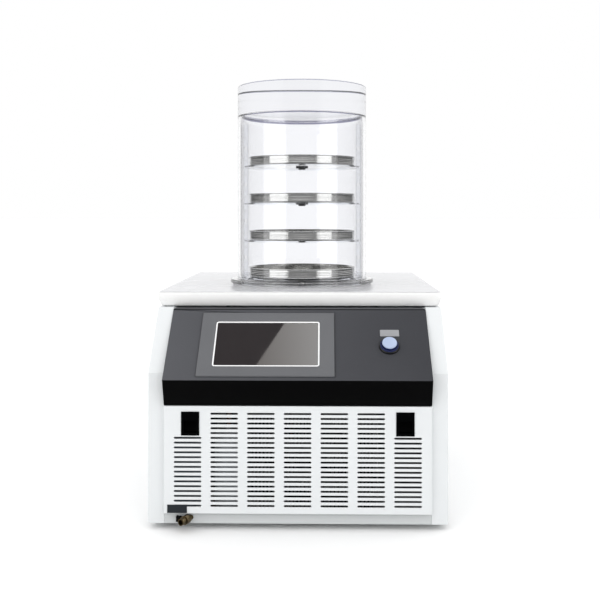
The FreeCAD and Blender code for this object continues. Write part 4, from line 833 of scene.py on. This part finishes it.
def studio(kind, settings, values):
    """Adds a node to the room's light, sets it up and fills its sockets."""
    made = tree.nodes.new(kind)
    for key, value in settings.items():
        setattr(made, key, value)
    for key, value in values.items():
        if isinstance(value, bpy.types.NodeSocket):
            tree.links.new(value, made.inputs[key])
        else:
            made.inputs[key].default_value = value
    return made


def sums(operation, *values):
    """The result of one Math node."""
    return studio("ShaderNodeMath", {"operation": operation}, dict(enumerate(values))).outputs[0]


def between(share, low, high):
    """A level between two, by a share from 0 to 1."""
    return studio("ShaderNodeMix", {"data_type": "FLOAT"}, {0: share, 2: low, 3: high}).outputs[0]


def ramp(stops, value):
    """Levels along a value from 0 to 1; stops are (position, level)."""
    made = studio("ShaderNodeValToRGB", {}, {0: value})
    line = made.color_ramp.elements
    for position, level in stops[1:-1]:
        line.new(position).color = (level, level, level, 1)
    for end, (position, level) in ((0, stops[0]), (-1, stops[-1])):
        line[end].color = (level, level, level, 1)
    return made.outputs[0]


def around(stops):
    """Levels round the room by bearing: degrees from the front, clockwise seen from above."""
    return ramp([(degrees / 360, level) for degrees, level in stops], bearing)


BACK = 1.07                      # bright wall behind
DARK = 0.34                      # dim room in front
SIDE = 0.15                      # dark walls at the sides
STRIP = 1.75                     # tall light at each side of the front
OPEN_SKY = 0.96                  # over the walls, all but the front

direction = studio("ShaderNodeTexCoord", {}, {}).outputs["Generated"]
parts = studio("ShaderNodeSeparateXYZ", {}, {0: direction}).outputs
bearing = sums("MULTIPLY_ADD", sums("ARCTAN2", parts[0], parts[1]), 0.5 / math.pi, 0.5)
height = sums("MULTIPLY_ADD", parts[2], 0.5, 0.5)          # 0 is straight down, 0.5 level, 1 straight up

walls = around([(0, DARK), (27, DARK), (29, STRIP), (70, STRIP), (72, SIDE), (138, SIDE), (148, BACK),
                (212, BACK), (222, SIDE), (292, SIDE), (294, STRIP), (325.5, STRIP), (327.5, DARK),
                (360, DARK)])
upper = around([(0, DARK), (29, DARK), (40, OPEN_SKY), (320, OPEN_SKY), (331, DARK), (360, DARK)])
is_upper = ramp([(0.0, 1.0), (0.452, 1.0), (0.455, 0.0), (0.549, 0.0), (0.552, 1.0), (0.576, 1.0),
                 (0.580, 0.0), (0.66, 0.0), (0.70, 1.0), (1.0, 1.0)], height)
fade = ramp([(0.0, 0.30), (0.39, 0.30), (0.415, 1.0), (0.74, 1.0), (0.80, 0.0), (1.0, 0.0)], height)
ceiling = ramp([(0.0, 0.0), (0.70, 0.0), (0.78, 0.85), (0.94, 0.85), (0.98, 0.25), (1.0, 0.25)], height)
room = sums("ADD", sums("MULTIPLY", between(is_upper, walls, upper), fade), ceiling)

# what is seen straight through clear pieces is plain and bright; mirrored and scattered light is the room's
plain = ramp([(0.0, BACK), (0.549, BACK), (0.552, OPEN_SKY), (1.0, OPEN_SKY)], height)
path = studio("ShaderNodeLightPath", {}, {}).outputs
mirrored = sums("GREATER_THAN", path["Glossy Depth"], 0.5)
scattered = sums("GREATER_THAN", path["Diffuse Depth"], 0.5)
level = between(sums("MAXIMUM", mirrored, scattered), plain, room)
level = between(path["Is Camera Ray"], level, 1.0)
sky = studio("ShaderNodeBackground", {}, {0: (1, 1, 1, 1), 1: level})
studio("ShaderNodeOutputWorld", {}, {0: sky.outputs[0]})

sun = bpy.data.lights.new("overhead", "SUN")
sun.angle = math.radians(110)
sun.energy = 1.40
lamp = bpy.data.objects.new("overhead", sun)
lamp.rotation_euler = (math.radians(28), 0, 0)
lamp.visible_glossy = False
scene.collection.objects.link(lamp)
